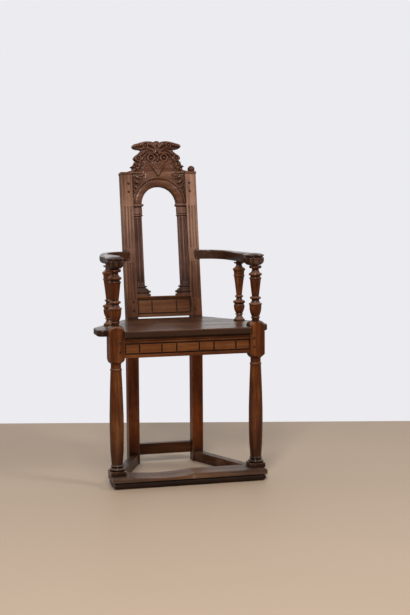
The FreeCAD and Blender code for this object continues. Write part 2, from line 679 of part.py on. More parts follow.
def make_arm():
    inner = [arm_point(*share) for share in ARM_INNER_SHARES]
    outer = [arm_point(*share) for share in ARM_OUTER_SHARES]
    lap_front = V(POST_OUTER_X - ARM_LAP, BACK_AT_ARM_Y - POST_DEPTH * ARM_LAP_FRONT_SHARE, ARM_UNDER)
    lap_back = V(POST_OUTER_X - ARM_LAP, BACK_AT_ARM_Y + POST_DEPTH * ARM_LAP_BACK_SHARE, ARM_UNDER)
    nose = arm_point((ARM_INNER_SHARES[-1][0] + ARM_OUTER_SHARES[0][0]) / 2, ARM_NOSE_SHARE)
    outline = [
        spline([lap_front] + inner),
        arc(inner[-1], nose, outer[0]),
        spline(outer + [V(POST_OUTER_X, lap_back.y, ARM_UNDER)]),
        line(V(POST_OUTER_X, lap_back.y, ARM_UNDER), lap_back),
        line(lap_back, lap_front),
    ]
    plan = Part.Face(Part.Wire(outline)).extrude(UP * ARM_THICKNESS)
    corners = [edge for edge in plan.Edges if is_arm_corner(edge, (inner[-1], outer[0]))]
    plan = plan.makeFillet(ARM_CORNER_ROUND, corners)

    tip, tail, bend = nose.y, lap_back.y + CUT_OVERRUN, ARM_NOSE_ROUND
    soft = bend * (1 - math.sqrt(0.5))
    side = [
        line(V(0, tail, ARM_UNDER), V(0, tip + bend, ARM_UNDER)),
        arc(V(0, tip + bend, ARM_UNDER), V(0, tip + soft, ARM_UNDER + soft), V(0, tip, ARM_UNDER + bend)),
        line(V(0, tip, ARM_UNDER + bend), V(0, tip, ARM_TOP - bend)),
        arc(V(0, tip, ARM_TOP - bend), V(0, tip + soft, ARM_TOP - soft), V(0, tip + bend, ARM_TOP)),
        line(V(0, tip + bend, ARM_TOP), V(0, tail, ARM_TOP)),
        line(V(0, tail, ARM_TOP), V(0, tail, ARM_UNDER)),
    ]
    reach = max(point.x for point in outer) + CUT_OVERRUN
    rounded = plan.common(Part.Face(Part.Wire(side)).extrude(ACROSS * reach))
    arm = joined([rounded.cut(post_blank()), arm_tail_tenon()])
    return arm.cut([arm_tenon(LEG_X, LEG_AXIS_Y, JOINT_PLAY, END_PLAY),
                    arm_tenon(REAR_BALUSTER_X, REAR_BALUSTER_Y, JOINT_PLAY, END_PLAY)])


# Rear balusters, between the seat and the arms


def seat_tenon(play=0.0, end_play=0.0):
    foot = V(REAR_BALUSTER_X, REAR_BALUSTER_Y, SEAT_HEIGHT - SEAT_TENON_LENGTH - end_play)
    return rod(ARM_TENON_RADIUS + play, foot, SEAT_TENON_LENGTH + end_play, UP)


def make_rear_baluster():
    shaft = turned(REAR_BALUSTER_SHARES, SEAT_HEIGHT, ARM_UNDER - SEAT_HEIGHT, REAR_BALUSTER_RADIUS,
                   REAR_BALUSTER_X, REAR_BALUSTER_Y)
    return joined([shaft, seat_tenon(), arm_tenon(REAR_BALUSTER_X, REAR_BALUSTER_Y)])


# Seat: one wide board, notched round the front posts, with ears that carry the rear balusters


def make_seat_board():
    front = APRON_FRONT_Y - SEAT_OVERHANG
    neck = APRON_HALF - JOINT_PLAY
    behind = BLOCK_BACK_Y + JOINT_PLAY
    back = BACK_FRONT_Y - JOINT_PLAY
    turn = EAR_FRONT_ROUND
    soft = turn * (1 - math.sqrt(0.5))

    def at(x, y):
        return V(x, y, SEAT_UNDER)

    right = [
        line(at(neck, front), at(neck, behind)),
        line(at(neck, behind), at(EAR_REACH - turn, behind)),
        arc(at(EAR_REACH - turn, behind), at(EAR_REACH - soft, behind + soft), at(EAR_REACH, behind + turn)),
        line(at(EAR_REACH, behind + turn), at(EAR_REACH, behind + EAR_LENGTH)),
        line(at(EAR_REACH, behind + EAR_LENGTH), at(SEAT_TAIL_REACH, back)),
    ]
    outline = right + [mirrored(edge) for edge in right]
    outline.append(line(at(-neck, front), at(neck, front)))
    outline.append(line(at(SEAT_TAIL_REACH, back), at(-SEAT_TAIL_REACH, back)))
    board = Part.Face(Part.Wire(Part.__sortEdges__(outline))).extrude(UP * SEAT_THICKNESS)

    def is_nosed(edge):
        """Level edges of the front, the ears and the slanting sides."""
        box = edge.BoundBox
        if box.ZLength > JOINT_PLAY / 2:
            return False
        in_front = box.YMax < front + JOINT_PLAY / 2
        middle = box.Center
        at_ear = abs(middle.x) > LEG_X and box.YLength > JOINT_PLAY and box.XLength < EAR_FRONT_ROUND * 2
        slanting = box.YLength > EAR_LENGTH and box.XLength > JOINT_PLAY
        return in_front or at_ear or slanting

    board = board.makeFillet(SEAT_NOSE, [edge for edge in board.Edges if is_nosed(edge)])
    mortise = seat_tenon(JOINT_PLAY, END_PLAY)
    return board.cut([mortise, mirrored(mortise)])


# Lower back rail, with a cornice that the pilasters stand on


def back_rail_tenon(play=0.0, end_play=0.0):
    middle = BACK_RAIL_SETBACK + BACK_RAIL_THICKNESS / 2
    half = BACK_RAIL_THICKNESS * TENON_THICKNESS_SHARE / 2
    return block((POST_INNER_X - JOINT_PLAY, POST_INNER_X + RAIL_TENON_LENGTH + end_play),
                 grown((middle - half, middle + half), play),
                 grown((BACK_RAIL_LIFT + TENON_SHOULDER, BACK_RAIL_TOP - TENON_SHOULDER), play))


def back_rail_pegs(play=0.0):
    sites = peg_sites(BACK_RAIL_LIFT, BACK_RAIL_TOP, PEG_HEIGHT_SHARES)
    return [peg(POST_INNER_X + RAIL_TENON_LENGTH / 2, height, 0, play) for height in sites]


def make_back_rail():
    face = BACK_RAIL_SETBACK
    back = face + BACK_RAIL_THICKNESS
    rail = block((-POST_INNER_X, POST_INNER_X), (face, back), (BACK_RAIL_LIFT, BACK_RAIL_TOP))
    low = BACK_RAIL_LIFT + BACK_RAIL_HEIGHT * BACK_FIELD_LOW_SHARE
    high = BACK_RAIL_LIFT + BACK_RAIL_HEIGHT * BACK_FIELD_HIGH_SHARE
    places = [POST_INNER_X * BACK_GROOVE_SHARE, POST_INNER_X - FIELD_GROOVE / 2]
    rail = rail.cut(field_grooves(POST_INNER_X, low, high, places, face))
    under = BACK_RAIL_TOP - BACK_RAIL_CORNICE
    tip = face - CORNICE_PROJECTION
    outline = [
        line(V(0, face, under), V(0, tip, (under + BACK_RAIL_TOP) / 2)),
        line(V(0, tip, (under + BACK_RAIL_TOP) / 2), V(0, tip, BACK_RAIL_TOP)),
        line(V(0, tip, BACK_RAIL_TOP), V(0, back, BACK_RAIL_TOP)),
        line(V(0, back, BACK_RAIL_TOP), V(0, back, under)),
        line(V(0, back, under), V(0, face, under)),
    ]
    cornice = Part.Face(Part.Wire(outline)).extrude(ACROSS * (2 * POST_INNER_X))
    cornice = cornice.translated(V(-POST_INNER_X, 0, 0))
    tenon = back_rail_tenon()
    rail = joined([rail, cornice, tenon, mirrored(tenon)])
    holes = back_rail_pegs(JOINT_PLAY)
    return raked(rail.cut(holes + [mirrored(hole) for hole in holes]))


# Pilasters: fluted shafts with a moulded base and capital, beside the posts


def moulded_ends(foot, height, reach, shares):
    """A stack of level sections, each standing out from the shaft towards the opening and the front."""
    sections = []
    for rise, share in shares:
        out = share * reach
        front = PILASTER_SETBACK - share * PILASTER_FRONT_REACH
        x0, x1 = POST_INNER_X - PILASTER_WIDTH - out, POST_INNER_X
        z = foot + rise * height
        y1 = PILASTER_SETBACK + PILASTER_THICKNESS
        corners = [V(x0, front, z), V(x1, front, z), V(x1, y1, z), V(x0, y1, z)]
        sections.append(Part.makePolygon(corners + corners[:1]))
    return Part.makeLoft(sections, True, True)


def make_pilaster():
    foot, top = BACK_RAIL_TOP, ARCH_SPRING
    shaft_low = foot + PILASTER_BASE_HEIGHT
    shaft_high = top - PILASTER_CAPITAL_HEIGHT
    shaft = block((POST_INNER_X - PILASTER_WIDTH, POST_INNER_X),
                  (PILASTER_SETBACK, PILASTER_SETBACK + PILASTER_THICKNESS), (shaft_low, shaft_high))
    span = [shaft_low + (shaft_high - shaft_low) * share for share in PILASTER_FLUTE_SHARES]
    middle = POST_INNER_X - PILASTER_WIDTH / 2
    flutes = []
    for side in (-1, 1):
        x = middle + side * PILASTER_FLUTE_PITCH / 2
        flutes.append(flute(x, span, PILASTER_SETBACK, PILASTER_FLUTE_RADIUS, PILASTER_FLUTE_DEPTH))
    base = moulded_ends(foot, PILASTER_BASE_HEIGHT, PILASTER_BASE_REACH, PILASTER_BASE_SHARES)
    capital = moulded_ends(shaft_high, PILASTER_CAPITAL_HEIGHT, PILASTER_CAPITAL_REACH,
                           PILASTER_CAPITAL_SHARES)
    return raked(joined([shaft.cut(flutes), base, capital]))


# Crest panel: one board, sawn to the arch below and the carved crest above


def crest_point(share_x, share_h, side=1):
    foot = POST_LENGTH + CAP_HEIGHT
    return V(side * share_x * CREST_HALF_WIDTH, PANEL_SETBACK, foot + share_h * (CREST_TOP - foot))


def crest_side():
    """The outline of the crest on one side, from the cap of the post to the bud in the middle."""
    foot = [crest_point(*share) for share in CREST_FOOT_SHARES]
    leaf = [crest_point(*share) for share in CREST_LEAF_SHARES]
    scroll = [crest_point(*share) for share in CREST_SCROLL_SHARES]
    neck = [crest_point(*share) for share in CREST_NECK_SHARES]
    under = [crest_point(*share) for share in CREST_WING_UNDER_SHARES]
    tip = [crest_point(*share) for share in CREST_WING_TIP_SHARES]
    top = [crest_point(*share) for share in CREST_WING_TOP_SHARES]
    return [
        line(foot[0], foot[1]),
        arc(foot[1], foot[2], foot[3]),
        line(foot[3], leaf[0]),
        arc(leaf[0], leaf[1], leaf[2]),
        arc(leaf[2], scroll[0], scroll[1]),
        arc(scroll[1], neck[0], neck[1]),
        line(neck[1], under[0]),
        line(under[0], under[1]),
        arc(under[1], tip[0], tip[1]),
        spline([tip[1]] + top),
    ]


def panel_tongue(play=0.0, end_play=0.0):
    """The tongue of the panel that slides into a groove in the post."""
    middle = PANEL_SETBACK + PANEL_THICKNESS / 2
    half = PANEL_TONGUE_THICKNESS / 2
    return block((POST_INNER_X - JOINT_PLAY, POST_INNER_X + PANEL_TONGUE + end_play),
                 grown((middle - half, middle + half), play),
                 (ARCH_SPRING + TENON_SHOULDER - play, POST_LENGTH + play))


def panel_pegs(play=0.0):
    sites = peg_sites(ARCH_SPRING, POST_LENGTH, PANEL_PEG_SHARES)
    return [peg(POST_INNER_X + PANEL_TONGUE - 2 * PEG_RADIUS, height, 0, play) for height in sites]


def archivolt():
    """The moulded face of the arch: a bead at the opening, a hollow, and a raised outer fillet."""
    face = PANEL_SETBACK
    proud = face - ARCHIVOLT_RELIEF
    r0, r3 = ARCH_RADIUS, ARCH_OUTER_RADIUS
    r1 = r0 + ARCHIVOLT_WIDTH * ARCHIVOLT_FILLET_SHARE
    r2 = r3 - ARCHIVOLT_WIDTH * ARCHIVOLT_FILLET_SHARE
    floor = (face + proud) / 2
    corners = ((r0, face), (r0, proud), (r1, proud), (r2, proud), (r3, proud), (r3, face))
    points = [V(r, y, 0) for r, y in corners]
    edges = [line(points[0], points[1]), line(points[1], points[2]),
             arc(points[2], V((r1 + r2) / 2, floor, 0), points[3])]
    edges += [line(points[3], points[4]), line(points[4], points[5]), line(points[5], points[0])]
    ring = Part.Face(Part.Wire(edges)).revolve(ORIGIN, BACKWARD, -FULL_TURN / 2)
    return ring.translated(V(0, 0, ARCH_SPRING))


def crest_rounds():
    """Domed scroll eyes, each turned about its own middle and let into the board."""
    rounds = []
    for share_x, share_h, share_r in CREST_ROUND_SHARES:
        radius = share_r * CREST_HALF_WIDTH
        ball = (radius ** 2 + CREST_RELIEF ** 2) / (2 * CREST_RELIEF)
        half_turn = math.asin(radius / ball) / 2
        tip, rim = V(0, -CREST_RELIEF, 0), V(radius, 0, 0)
        swell = V(ball * math.sin(half_turn), ball - CREST_RELIEF - ball * math.cos(half_turn), 0)
        root = V(radius, CREST_RELIEF, 0)
        core = V(0, CREST_RELIEF, 0)
        outline = [arc(tip, swell, rim), line(rim, root), line(root, core), line(core, tip)]
        button = Part.Face(Part.Wire(outline)).revolve(ORIGIN, BACKWARD, FULL_TURN)
        rounds += [button.translated(crest_point(share_x, share_h, side)) for side in (-1, 1)]
    return rounds


def make_crest_panel():
    right = crest_side()
    left = [mirrored(edge) for edge in right]
    valley = crest_point(*CREST_WING_TOP_SHARES[-1])
    bud = arc(valley, crest_point(0, CREST_BUD_SHARE), V(-valley.x, valley.y, valley.z))
    spring, seat = ARCH_SPRING, POST_LENGTH + CAP_HEIGHT

    def at(x, h):
        return V(x, PANEL_SETBACK, h)

    foot_x = CREST_FOOT_SHARES[0][0] * CREST_HALF_WIDTH
    edges = right + left + [bud]
    for side in (-1, 1):
        edges += [line(at(side * foot_x, seat), at(side * POST_INNER_X, seat)),
                  line(at(side * POST_INNER_X, seat), at(side * POST_INNER_X, spring)),
                  line(at(side * POST_INNER_X, spring), at(side * ARCH_RADIUS, spring))]
    edges.append(arc(at(-ARCH_RADIUS, spring), at(0, spring + ARCH_RADIUS), at(ARCH_RADIUS, spring)))
    board = Part.Face(Part.Wire(Part.__sortEdges__(edges))).extrude(BACKWARD * PANEL_THICKNESS)
    tongue = panel_tongue()
    panel = joined([board, archivolt(), tongue, mirrored(tongue)] + crest_rounds())
    holes = panel_pegs(JOINT_PLAY)
    return raked(panel.cut(holes + [mirrored(hole) for hole in holes]))


# Caps on the back posts, and the one finial that is left


def make_post_cap():
    over = CAP_OVERHANG
    cap = block((POST_INNER_X, POST_OUTER_X + over), (-over, POST_DEPTH),
                (POST_LENGTH, POST_LENGTH + CAP_HEIGHT))
    return raked(cap.makeChamfer(over, [edge for edge in cap.Edges if is_cap_arris(edge)]))


def is_cap_arris(edge):
    """The lower front and outer arrises of a cap, which are bevelled back to the post."""
    box = edge.BoundBox
    level = box.ZMax < POST_LENGTH + CAP_OVERHANG
    return level and (box.YMax < 0 or box.XMin > POST_OUTER_X)


def finial_tenon(play=0.0, end_play=0.0):
    foot = V(FINIAL_X, POST_DEPTH / 2, POST_LENGTH - FINIAL_TENON_LENGTH + CAP_HEIGHT - end_play)
    return rod(FINIAL_TENON_RADIUS + play, foot, FINIAL_TENON_LENGTH + end_play, UP)


def make_finial():
    x, y = FINIAL_X, POST_DEPTH / 2
    foot = POST_LENGTH + CAP_HEIGHT
    rise = math.sqrt(FINIAL_RADIUS ** 2 - FINIAL_NECK_RADIUS ** 2)
    ball = Part.makeSphere(FINIAL_RADIUS, V(x, y, foot + rise))
    base = rod(FINIAL_RADIUS, V(x, y, foot - FINIAL_RADIUS), FINIAL_RADIUS, UP)
    return raked(joined([ball.cut(base), finial_tenon()]))


# Pieces, left and right


def both_sides(name, shape):
    return {name + "_right": shape, name + "_left": mirrored(shape)}


def peg_group(pegs):
    return Part.makeCompound(pegs + [mirrored(one) for one in pegs])


def make_pieces():
    pieces = {
        "foot_rail": make_foot_rail(),
        "front_rail": make_front_rail(),
        "rear_rail": make_rear_rail(),
        "rear_stretcher": make_rear_stretcher(),
        "seat_board": make_seat_board(),
        "lower_back_rail": make_back_rail(),
        "crest_panel": make_crest_panel(),
        "front_rail_pegs": peg_group(apron_pegs()),
        "lower_back_rail_pegs": peg_group([raked(one) for one in back_rail_pegs()]),
        "crest_panel_pegs": peg_group([raked(one) for one in panel_pegs()]),
    }
    pieces.update(both_sides("front_post", make_front_post()))
    pieces.update(both_sides("side_rail", make_side_rail()))
    pieces.update(both_sides("side_stretcher", make_side_stretcher()))
    pieces.update(both_sides("arm", make_arm()))
    pieces.update(both_sides("rear_baluster", make_rear_baluster()))
    pieces.update(both_sides("pilaster", make_pilaster()))
    post = make_back_post()
    cap = make_post_cap()
    socket = raked(finial_tenon(JOINT_PLAY, END_PLAY))
    pieces["back_post_left"] = mirrored(post)
    pieces["back_post_right"] = post.cut(socket)
    pieces["post_cap_left"] = mirrored(cap)
    pieces["post_cap_right"] = cap.cut(socket)
    pieces["finial"] = make_finial()
    return pieces


os.makedirs("parts", exist_ok=True)
for node, shape in sorted(make_pieces().items()):
    placed = shape.translated(V(0, -OVERALL_DEPTH / 2, 0))
    placed.exportStep(os.path.join("parts", node + ".step"))
    print(node, "solids", len(placed.Solids), "valid", placed.isValid(), "volume", round(placed.Volume))
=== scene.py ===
"""An old joined oak caqueteuse: narrow raked back with a pierced arch and a carved crest, a seat that
widens to the front, bowed arms on turned posts, and stretchers near the floor. Metres, +Z up."""
import bpy
import math
import numpy as np
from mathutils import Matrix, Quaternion, Vector


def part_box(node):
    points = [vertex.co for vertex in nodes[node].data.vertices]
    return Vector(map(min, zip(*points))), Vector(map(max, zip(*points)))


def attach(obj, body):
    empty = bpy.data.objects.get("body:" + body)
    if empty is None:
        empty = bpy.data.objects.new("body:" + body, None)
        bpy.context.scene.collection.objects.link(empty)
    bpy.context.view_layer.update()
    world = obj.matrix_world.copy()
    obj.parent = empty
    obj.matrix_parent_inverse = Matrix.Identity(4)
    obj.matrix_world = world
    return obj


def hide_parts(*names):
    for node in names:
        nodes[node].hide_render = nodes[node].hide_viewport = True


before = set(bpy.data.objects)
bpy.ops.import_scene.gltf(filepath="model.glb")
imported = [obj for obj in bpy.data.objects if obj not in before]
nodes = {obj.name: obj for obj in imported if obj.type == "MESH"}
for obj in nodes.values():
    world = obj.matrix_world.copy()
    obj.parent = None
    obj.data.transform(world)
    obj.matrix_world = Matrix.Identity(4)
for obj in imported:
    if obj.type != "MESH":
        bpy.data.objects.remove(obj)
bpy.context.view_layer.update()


# Camera: it stands in front of the chair and a little to the left, about chest high,
# with a long lens on a tall picture of 410 by 615.
CAMERA_PLACE = (-1.1371, -4.8113, 1.1255)
CAMERA_TURN = math.radians(-14.608)
CAMERA_DIP = math.radians(6.338)
CAMERA_ROLL = math.radians(-0.361)
PICTURE_FOCUS, PICTURE_HEIGHT = 1423.4, 615.0
SENSOR = 36.0

camera_data = bpy.data.cameras.new("camera")
camera_data.sensor_width = SENSOR
camera_data.lens = SENSOR * PICTURE_FOCUS / PICTURE_HEIGHT
camera = bpy.data.objects.new("camera", camera_data)
bpy.context.scene.collection.objects.link(camera)
sight = Vector((-math.sin(CAMERA_TURN) * math.cos(CAMERA_DIP), math.cos(CAMERA_TURN) * math.cos(CAMERA_DIP),
                -math.sin(CAMERA_DIP)))
camera.location = CAMERA_PLACE
camera.rotation_mode = "QUATERNION"
camera.rotation_quaternion = sight.to_track_quat("-Z", "Y") @ Quaternion((0, 0, 1), CAMERA_ROLL)
bpy.context.scene.camera = camera


# Floor: pale and wood-coloured, and plain, so that it only takes the chair's shadow.
# It ends where the white wall of the room would stand.
FLOOR_FAR, FLOOR_NEAR, FLOOR_SIDE = 5.82, -2.0, 6.0
FLOOR_COLOUR, FLOOR_SHADE = (0.43, 0.325, 0.240), (0.40, 0.298, 0.214)
FLOOR_CLOUDS, FLOOR_DETAIL, FLOOR_ROUGH = 1.3, 4.0, 0.6


class Wire:
    """One socket of a node tree. Sums, differences and products of wires and numbers add Math nodes."""

    # A Mix node has sockets for several kinds of data, and these are the places of those for colours.
    MIX_SHARE, MIX_FIRST, MIX_SECOND, MIX_RESULT = 0, 6, 7, 2

    def __init__(self, socket):
        self.socket = socket

    def node(self, kind, settings, sockets, output=0):
        """Adds a node of this kind: first its settings, then the values or wires of its sockets."""
        tree = self.socket.id_data
        made = tree.nodes.new(kind)
        for name, value in settings.items():
            if name == "stops":
                ramp = made.color_ramp
                while len(ramp.elements) < len(value):
                    ramp.elements.new(1.0)
                for element, (place, tint) in zip(ramp.elements, value):
                    element.position, element.color = place, (*tint, 1.0)
            else:
                setattr(made, name, value)
        for name, value in sockets.items():
            if isinstance(value, Wire):
                tree.links.new(value.socket, made.inputs[name])
            else:
                made.inputs[name].default_value = value
        return Wire(made.outputs[output])

    def maths(self, operation, *values):
        """Adds a Math node with these values or wires."""
        return self.node("ShaderNodeMath", {"operation": operation}, dict(enumerate(values)))

    def __add__(self, other):
        return self.maths("ADD", self, other)

    def __radd__(self, other):
        return self.maths("ADD", other, self)

    def __sub__(self, other):
        return self.maths("SUBTRACT", self, other)

    def __rsub__(self, other):
        return self.maths("SUBTRACT", other, self)

    def __mul__(self, other):
        return self.maths("MULTIPLY", self, other)

    def __rmul__(self, other):
        return self.maths("MULTIPLY", other, self)

    def between(self, low, high):
        """This value spread from 0 at low to 1 at high, and held there."""
        return self.node("ShaderNodeMapRange", {"interpolation_type": "SMOOTHSTEP"},
                         {"Value": self, "From Min": low, "From Max": high})

    def tint(self, first, second):
        """A colour from first, where this is 0, to second, where it is 1."""
        colours = [value if isinstance(value, Wire) else (*value, 1.0) for value in (first, second)]
        sockets = {self.MIX_SHARE: self, self.MIX_FIRST: colours[0], self.MIX_SECOND: colours[1]}
        return self.node("ShaderNodeMix", {"data_type": "RGBA"}, sockets, self.MIX_RESULT)


def new_material(name):
    """An empty material: its shader, and the coordinates of the piece in metres."""
    material = bpy.data.materials.new(name)
    material.use_nodes = True
    shader = material.node_tree.nodes["Principled BSDF"]
    place = material.node_tree.nodes.new("ShaderNodeTexCoord").outputs["Object"]
    return material, shader, Wire(place)


def connect(shader, **sockets):
    """Links wires to the shader's sockets, whose names have _ for a space."""
    for name, wire in sockets.items():
        shader.id_data.links.new(wire.socket, shader.inputs[name.replace("_", " ")])


ahead = Vector((-math.sin(CAMERA_TURN), math.cos(CAMERA_TURN), 0))
aside = Vector((math.cos(CAMERA_TURN), math.sin(CAMERA_TURN), 0))
under_camera = Vector((CAMERA_PLACE[0], CAMERA_PLACE[1], 0))
floor_corners = ((FLOOR_NEAR, -FLOOR_SIDE), (FLOOR_NEAR, FLOOR_SIDE), (FLOOR_FAR, FLOOR_SIDE),
                 (FLOOR_FAR, -FLOOR_SIDE))
floor_mesh = bpy.data.meshes.new("floor")
floor_mesh.from_pydata([under_camera + ahead * far + aside * side for far, side in floor_corners], [],
                       [(0, 1, 2, 3)])
floor = bpy.data.objects.new("floor", floor_mesh)
bpy.context.scene.collection.objects.link(floor)
floor_material, floor_shader, floor_place = new_material("pale_floor")
floor_cloud = floor_place.node("ShaderNodeTexNoise", {}, {"Vector": floor_place, "Scale": FLOOR_CLOUDS,
                                                          "Detail": FLOOR_DETAIL})
connect(floor_shader, Base_Color=floor_cloud.tint(FLOOR_COLOUR, FLOOR_SHADE))
floor_shader.inputs["Roughness"].default_value = FLOOR_ROUGH
floor_mesh.materials.append(floor_material)


# Light of a studio: the room is dim in front, with its white wall behind the chair, and three large
# soft lamps stand high in front. The camera sees the wall as plain and nearly white.
ROOM_FRONT, ROOM_BACK = 0.14, 0.80
ROOM_TURN, ROOM_HORIZON = (-0.15, 0.45), (-0.02, 0.05)
WALL_COLOUR, WALL_STRENGTH = (0.84, 0.835, 0.87), 1.0
LAMPS = (("key_lamp", (-1.5, -4.0, 3.4), 0.9, 155.0, (1.0, 0.97, 0.93)),
         ("top_lamp", (-0.4, -1.9, 4.4), 0.9, 46.0, (1.0, 0.98, 0.95)),
         ("fill_lamp", (2.7, -2.8, 3.4), 0.9, 66.0, (1.0, 0.98, 0.96)))
LAMP_AIM = Vector((0.0, 0.0, 0.6))

world = bpy.data.worlds.new("studio")
bpy.context.scene.world = world
world.use_nodes = True
sky = world.node_tree.nodes["Background"]
ray = Wire(world.node_tree.nodes.new("ShaderNodeLightPath").outputs["Is Camera Ray"])
skyward = Wire(world.node_tree.nodes.new("ShaderNodeTexCoord").outputs["Generated"])
rearward, upward = [skyward.node("ShaderNodeSeparateXYZ", {}, {"Vector": skyward}, axis) for axis in "YZ"]
behind = rearward.between(*ROOM_TURN) * upward.between(*ROOM_HORIZON)
room = behind * (ROOM_BACK - ROOM_FRONT) + ROOM_FRONT
world.node_tree.links.new(room.socket, sky.inputs["Strength"])
sky.inputs["Color"].default_value = (1.0, 1.0, 1.0, 1.0)
wall = ray.node("ShaderNodeBackground", {}, {"Color": (*WALL_COLOUR, 1.0), "Strength": WALL_STRENGTH})
seen = ray.node("ShaderNodeMixShader", {}, {0: ray, 1: Wire(sky.outputs[0]), 2: wall})
world.node_tree.links.new(seen.socket, world.node_tree.nodes["World Output"].inputs["Surface"])
for lamp_name, lamp_place, lamp_size, lamp_power, lamp_tint in LAMPS:
    lamp_data = bpy.data.lights.new(lamp_name, "AREA")
    lamp_data.size, lamp_data.energy, lamp_data.color = lamp_size, lamp_power, lamp_tint
    lamp = bpy.data.objects.new(lamp_name, lamp_data)
    bpy.context.scene.collection.objects.link(lamp)
    lamp.location = lamp_place
    lamp.rotation_mode = "QUATERNION"
    lamp.rotation_quaternion = (LAMP_AIM - lamp.location).to_track_quat("-Z", "Y")
bpy.context.scene.view_settings.view_transform = "Standard"


# Foot rail: one riven oak sill with a moulded front, that both front posts are tenoned into.
# Feet have hollowed it and rubbed off the wax, so it is greyer than the rest. It is darker at its ends,
# and painted nearly black along its foot, as the shade under its moulded front.
FOOT_RAIL_BROWNS = (0.030, 0.0110, 0.0050), (0.112, 0.051, 0.0270), (0.215, 0.128, 0.080)
FOOT_RAIL_SHADED_FOOT = ((0.0185, 0.0225, ((0.005, 0.0018, 0.0007), (0.015, 0.0056, 0.0024), (0.038, 0.016, 0.008))),)
FOOT_RAIL_ENDS = 0.06, 0.22, ((0.017, 0.0066, 0.0038), (0.064, 0.031, 0.0200), (0.122, 0.077, 0.060))

# What all the oak shares. A noise has its scale, detail and roughness, but the figure's scale is the piece's
# own, and its last value bends it. A range says where a mask starts and where it is full.
GRAIN_STRETCH, TONE_STOPS = 0.045, (0.30, 0.50, 0.72)
FIGURE_NOISE, STREAK_NOISE, PORE_NOISE = (5.0, 0.6, 0.6), (260.0, 3.0, 0.65), (900.0, 2.0, 0.5)
CLOUD_NOISE, BLOTCH_NOISE = (9.0, 3.0, 0.5), (26.0, 4.0, 0.6)
PORE_RANGE, PATCH_RANGE, WAX_RANGE = (0.60, 0.70), (0.35, 0.62), (0.42, 0.60)
FIGURE_TONE, STREAK_TONE, CLOUD_TONE, TONE_DROP = 0.60, 0.32, 0.35, 0.135
CORNER_REACH, EDGE_REACH, EDGE_RANGE = 0.012, 0.006, (0.35, 0.80)
REACH_SAMPLES, ARRIS_SAMPLES = 8, 4
FLANK_SHADE_RANGE, FACING_RANGE = (0.1, 0.6), (-0.3, 0.3)
TOP_SHEEN_RANGE, TOP_SHEEN_COLOUR = (0.15, 0.70), (0.25, 0.155, 0.108)
HOLLOW_RANGE, SWELL_RANGE, SWELL_RUBBED, CARVED_CORNERS = (0.08, 0.95), (0.15, 0.95), 0.28, 0.4
PORE_SHARE, PORE_DARKER, SHADE_AND_GRIME_DARKER, RUBBED_PALER = 0.55, 0.35, 0.25, 1.45
STREAK_HIGH, FIGURE_HIGH, PORE_DEEP, BLOTCH_HIGH = 0.5, 0.3, 0.6, 0.25
BUMP_SHARE, BUMP_HEIGHT = 0.35, 0.0012
BLOTCH_DULL, GRIME_DULL, PORE_DULL, RUBBED_SHINE = 0.14, 0.25, 0.1, 0.06
WAX_LEAST, WAX_MORE, WOOD_SPECULAR = 0.40, 0.9, 0.15


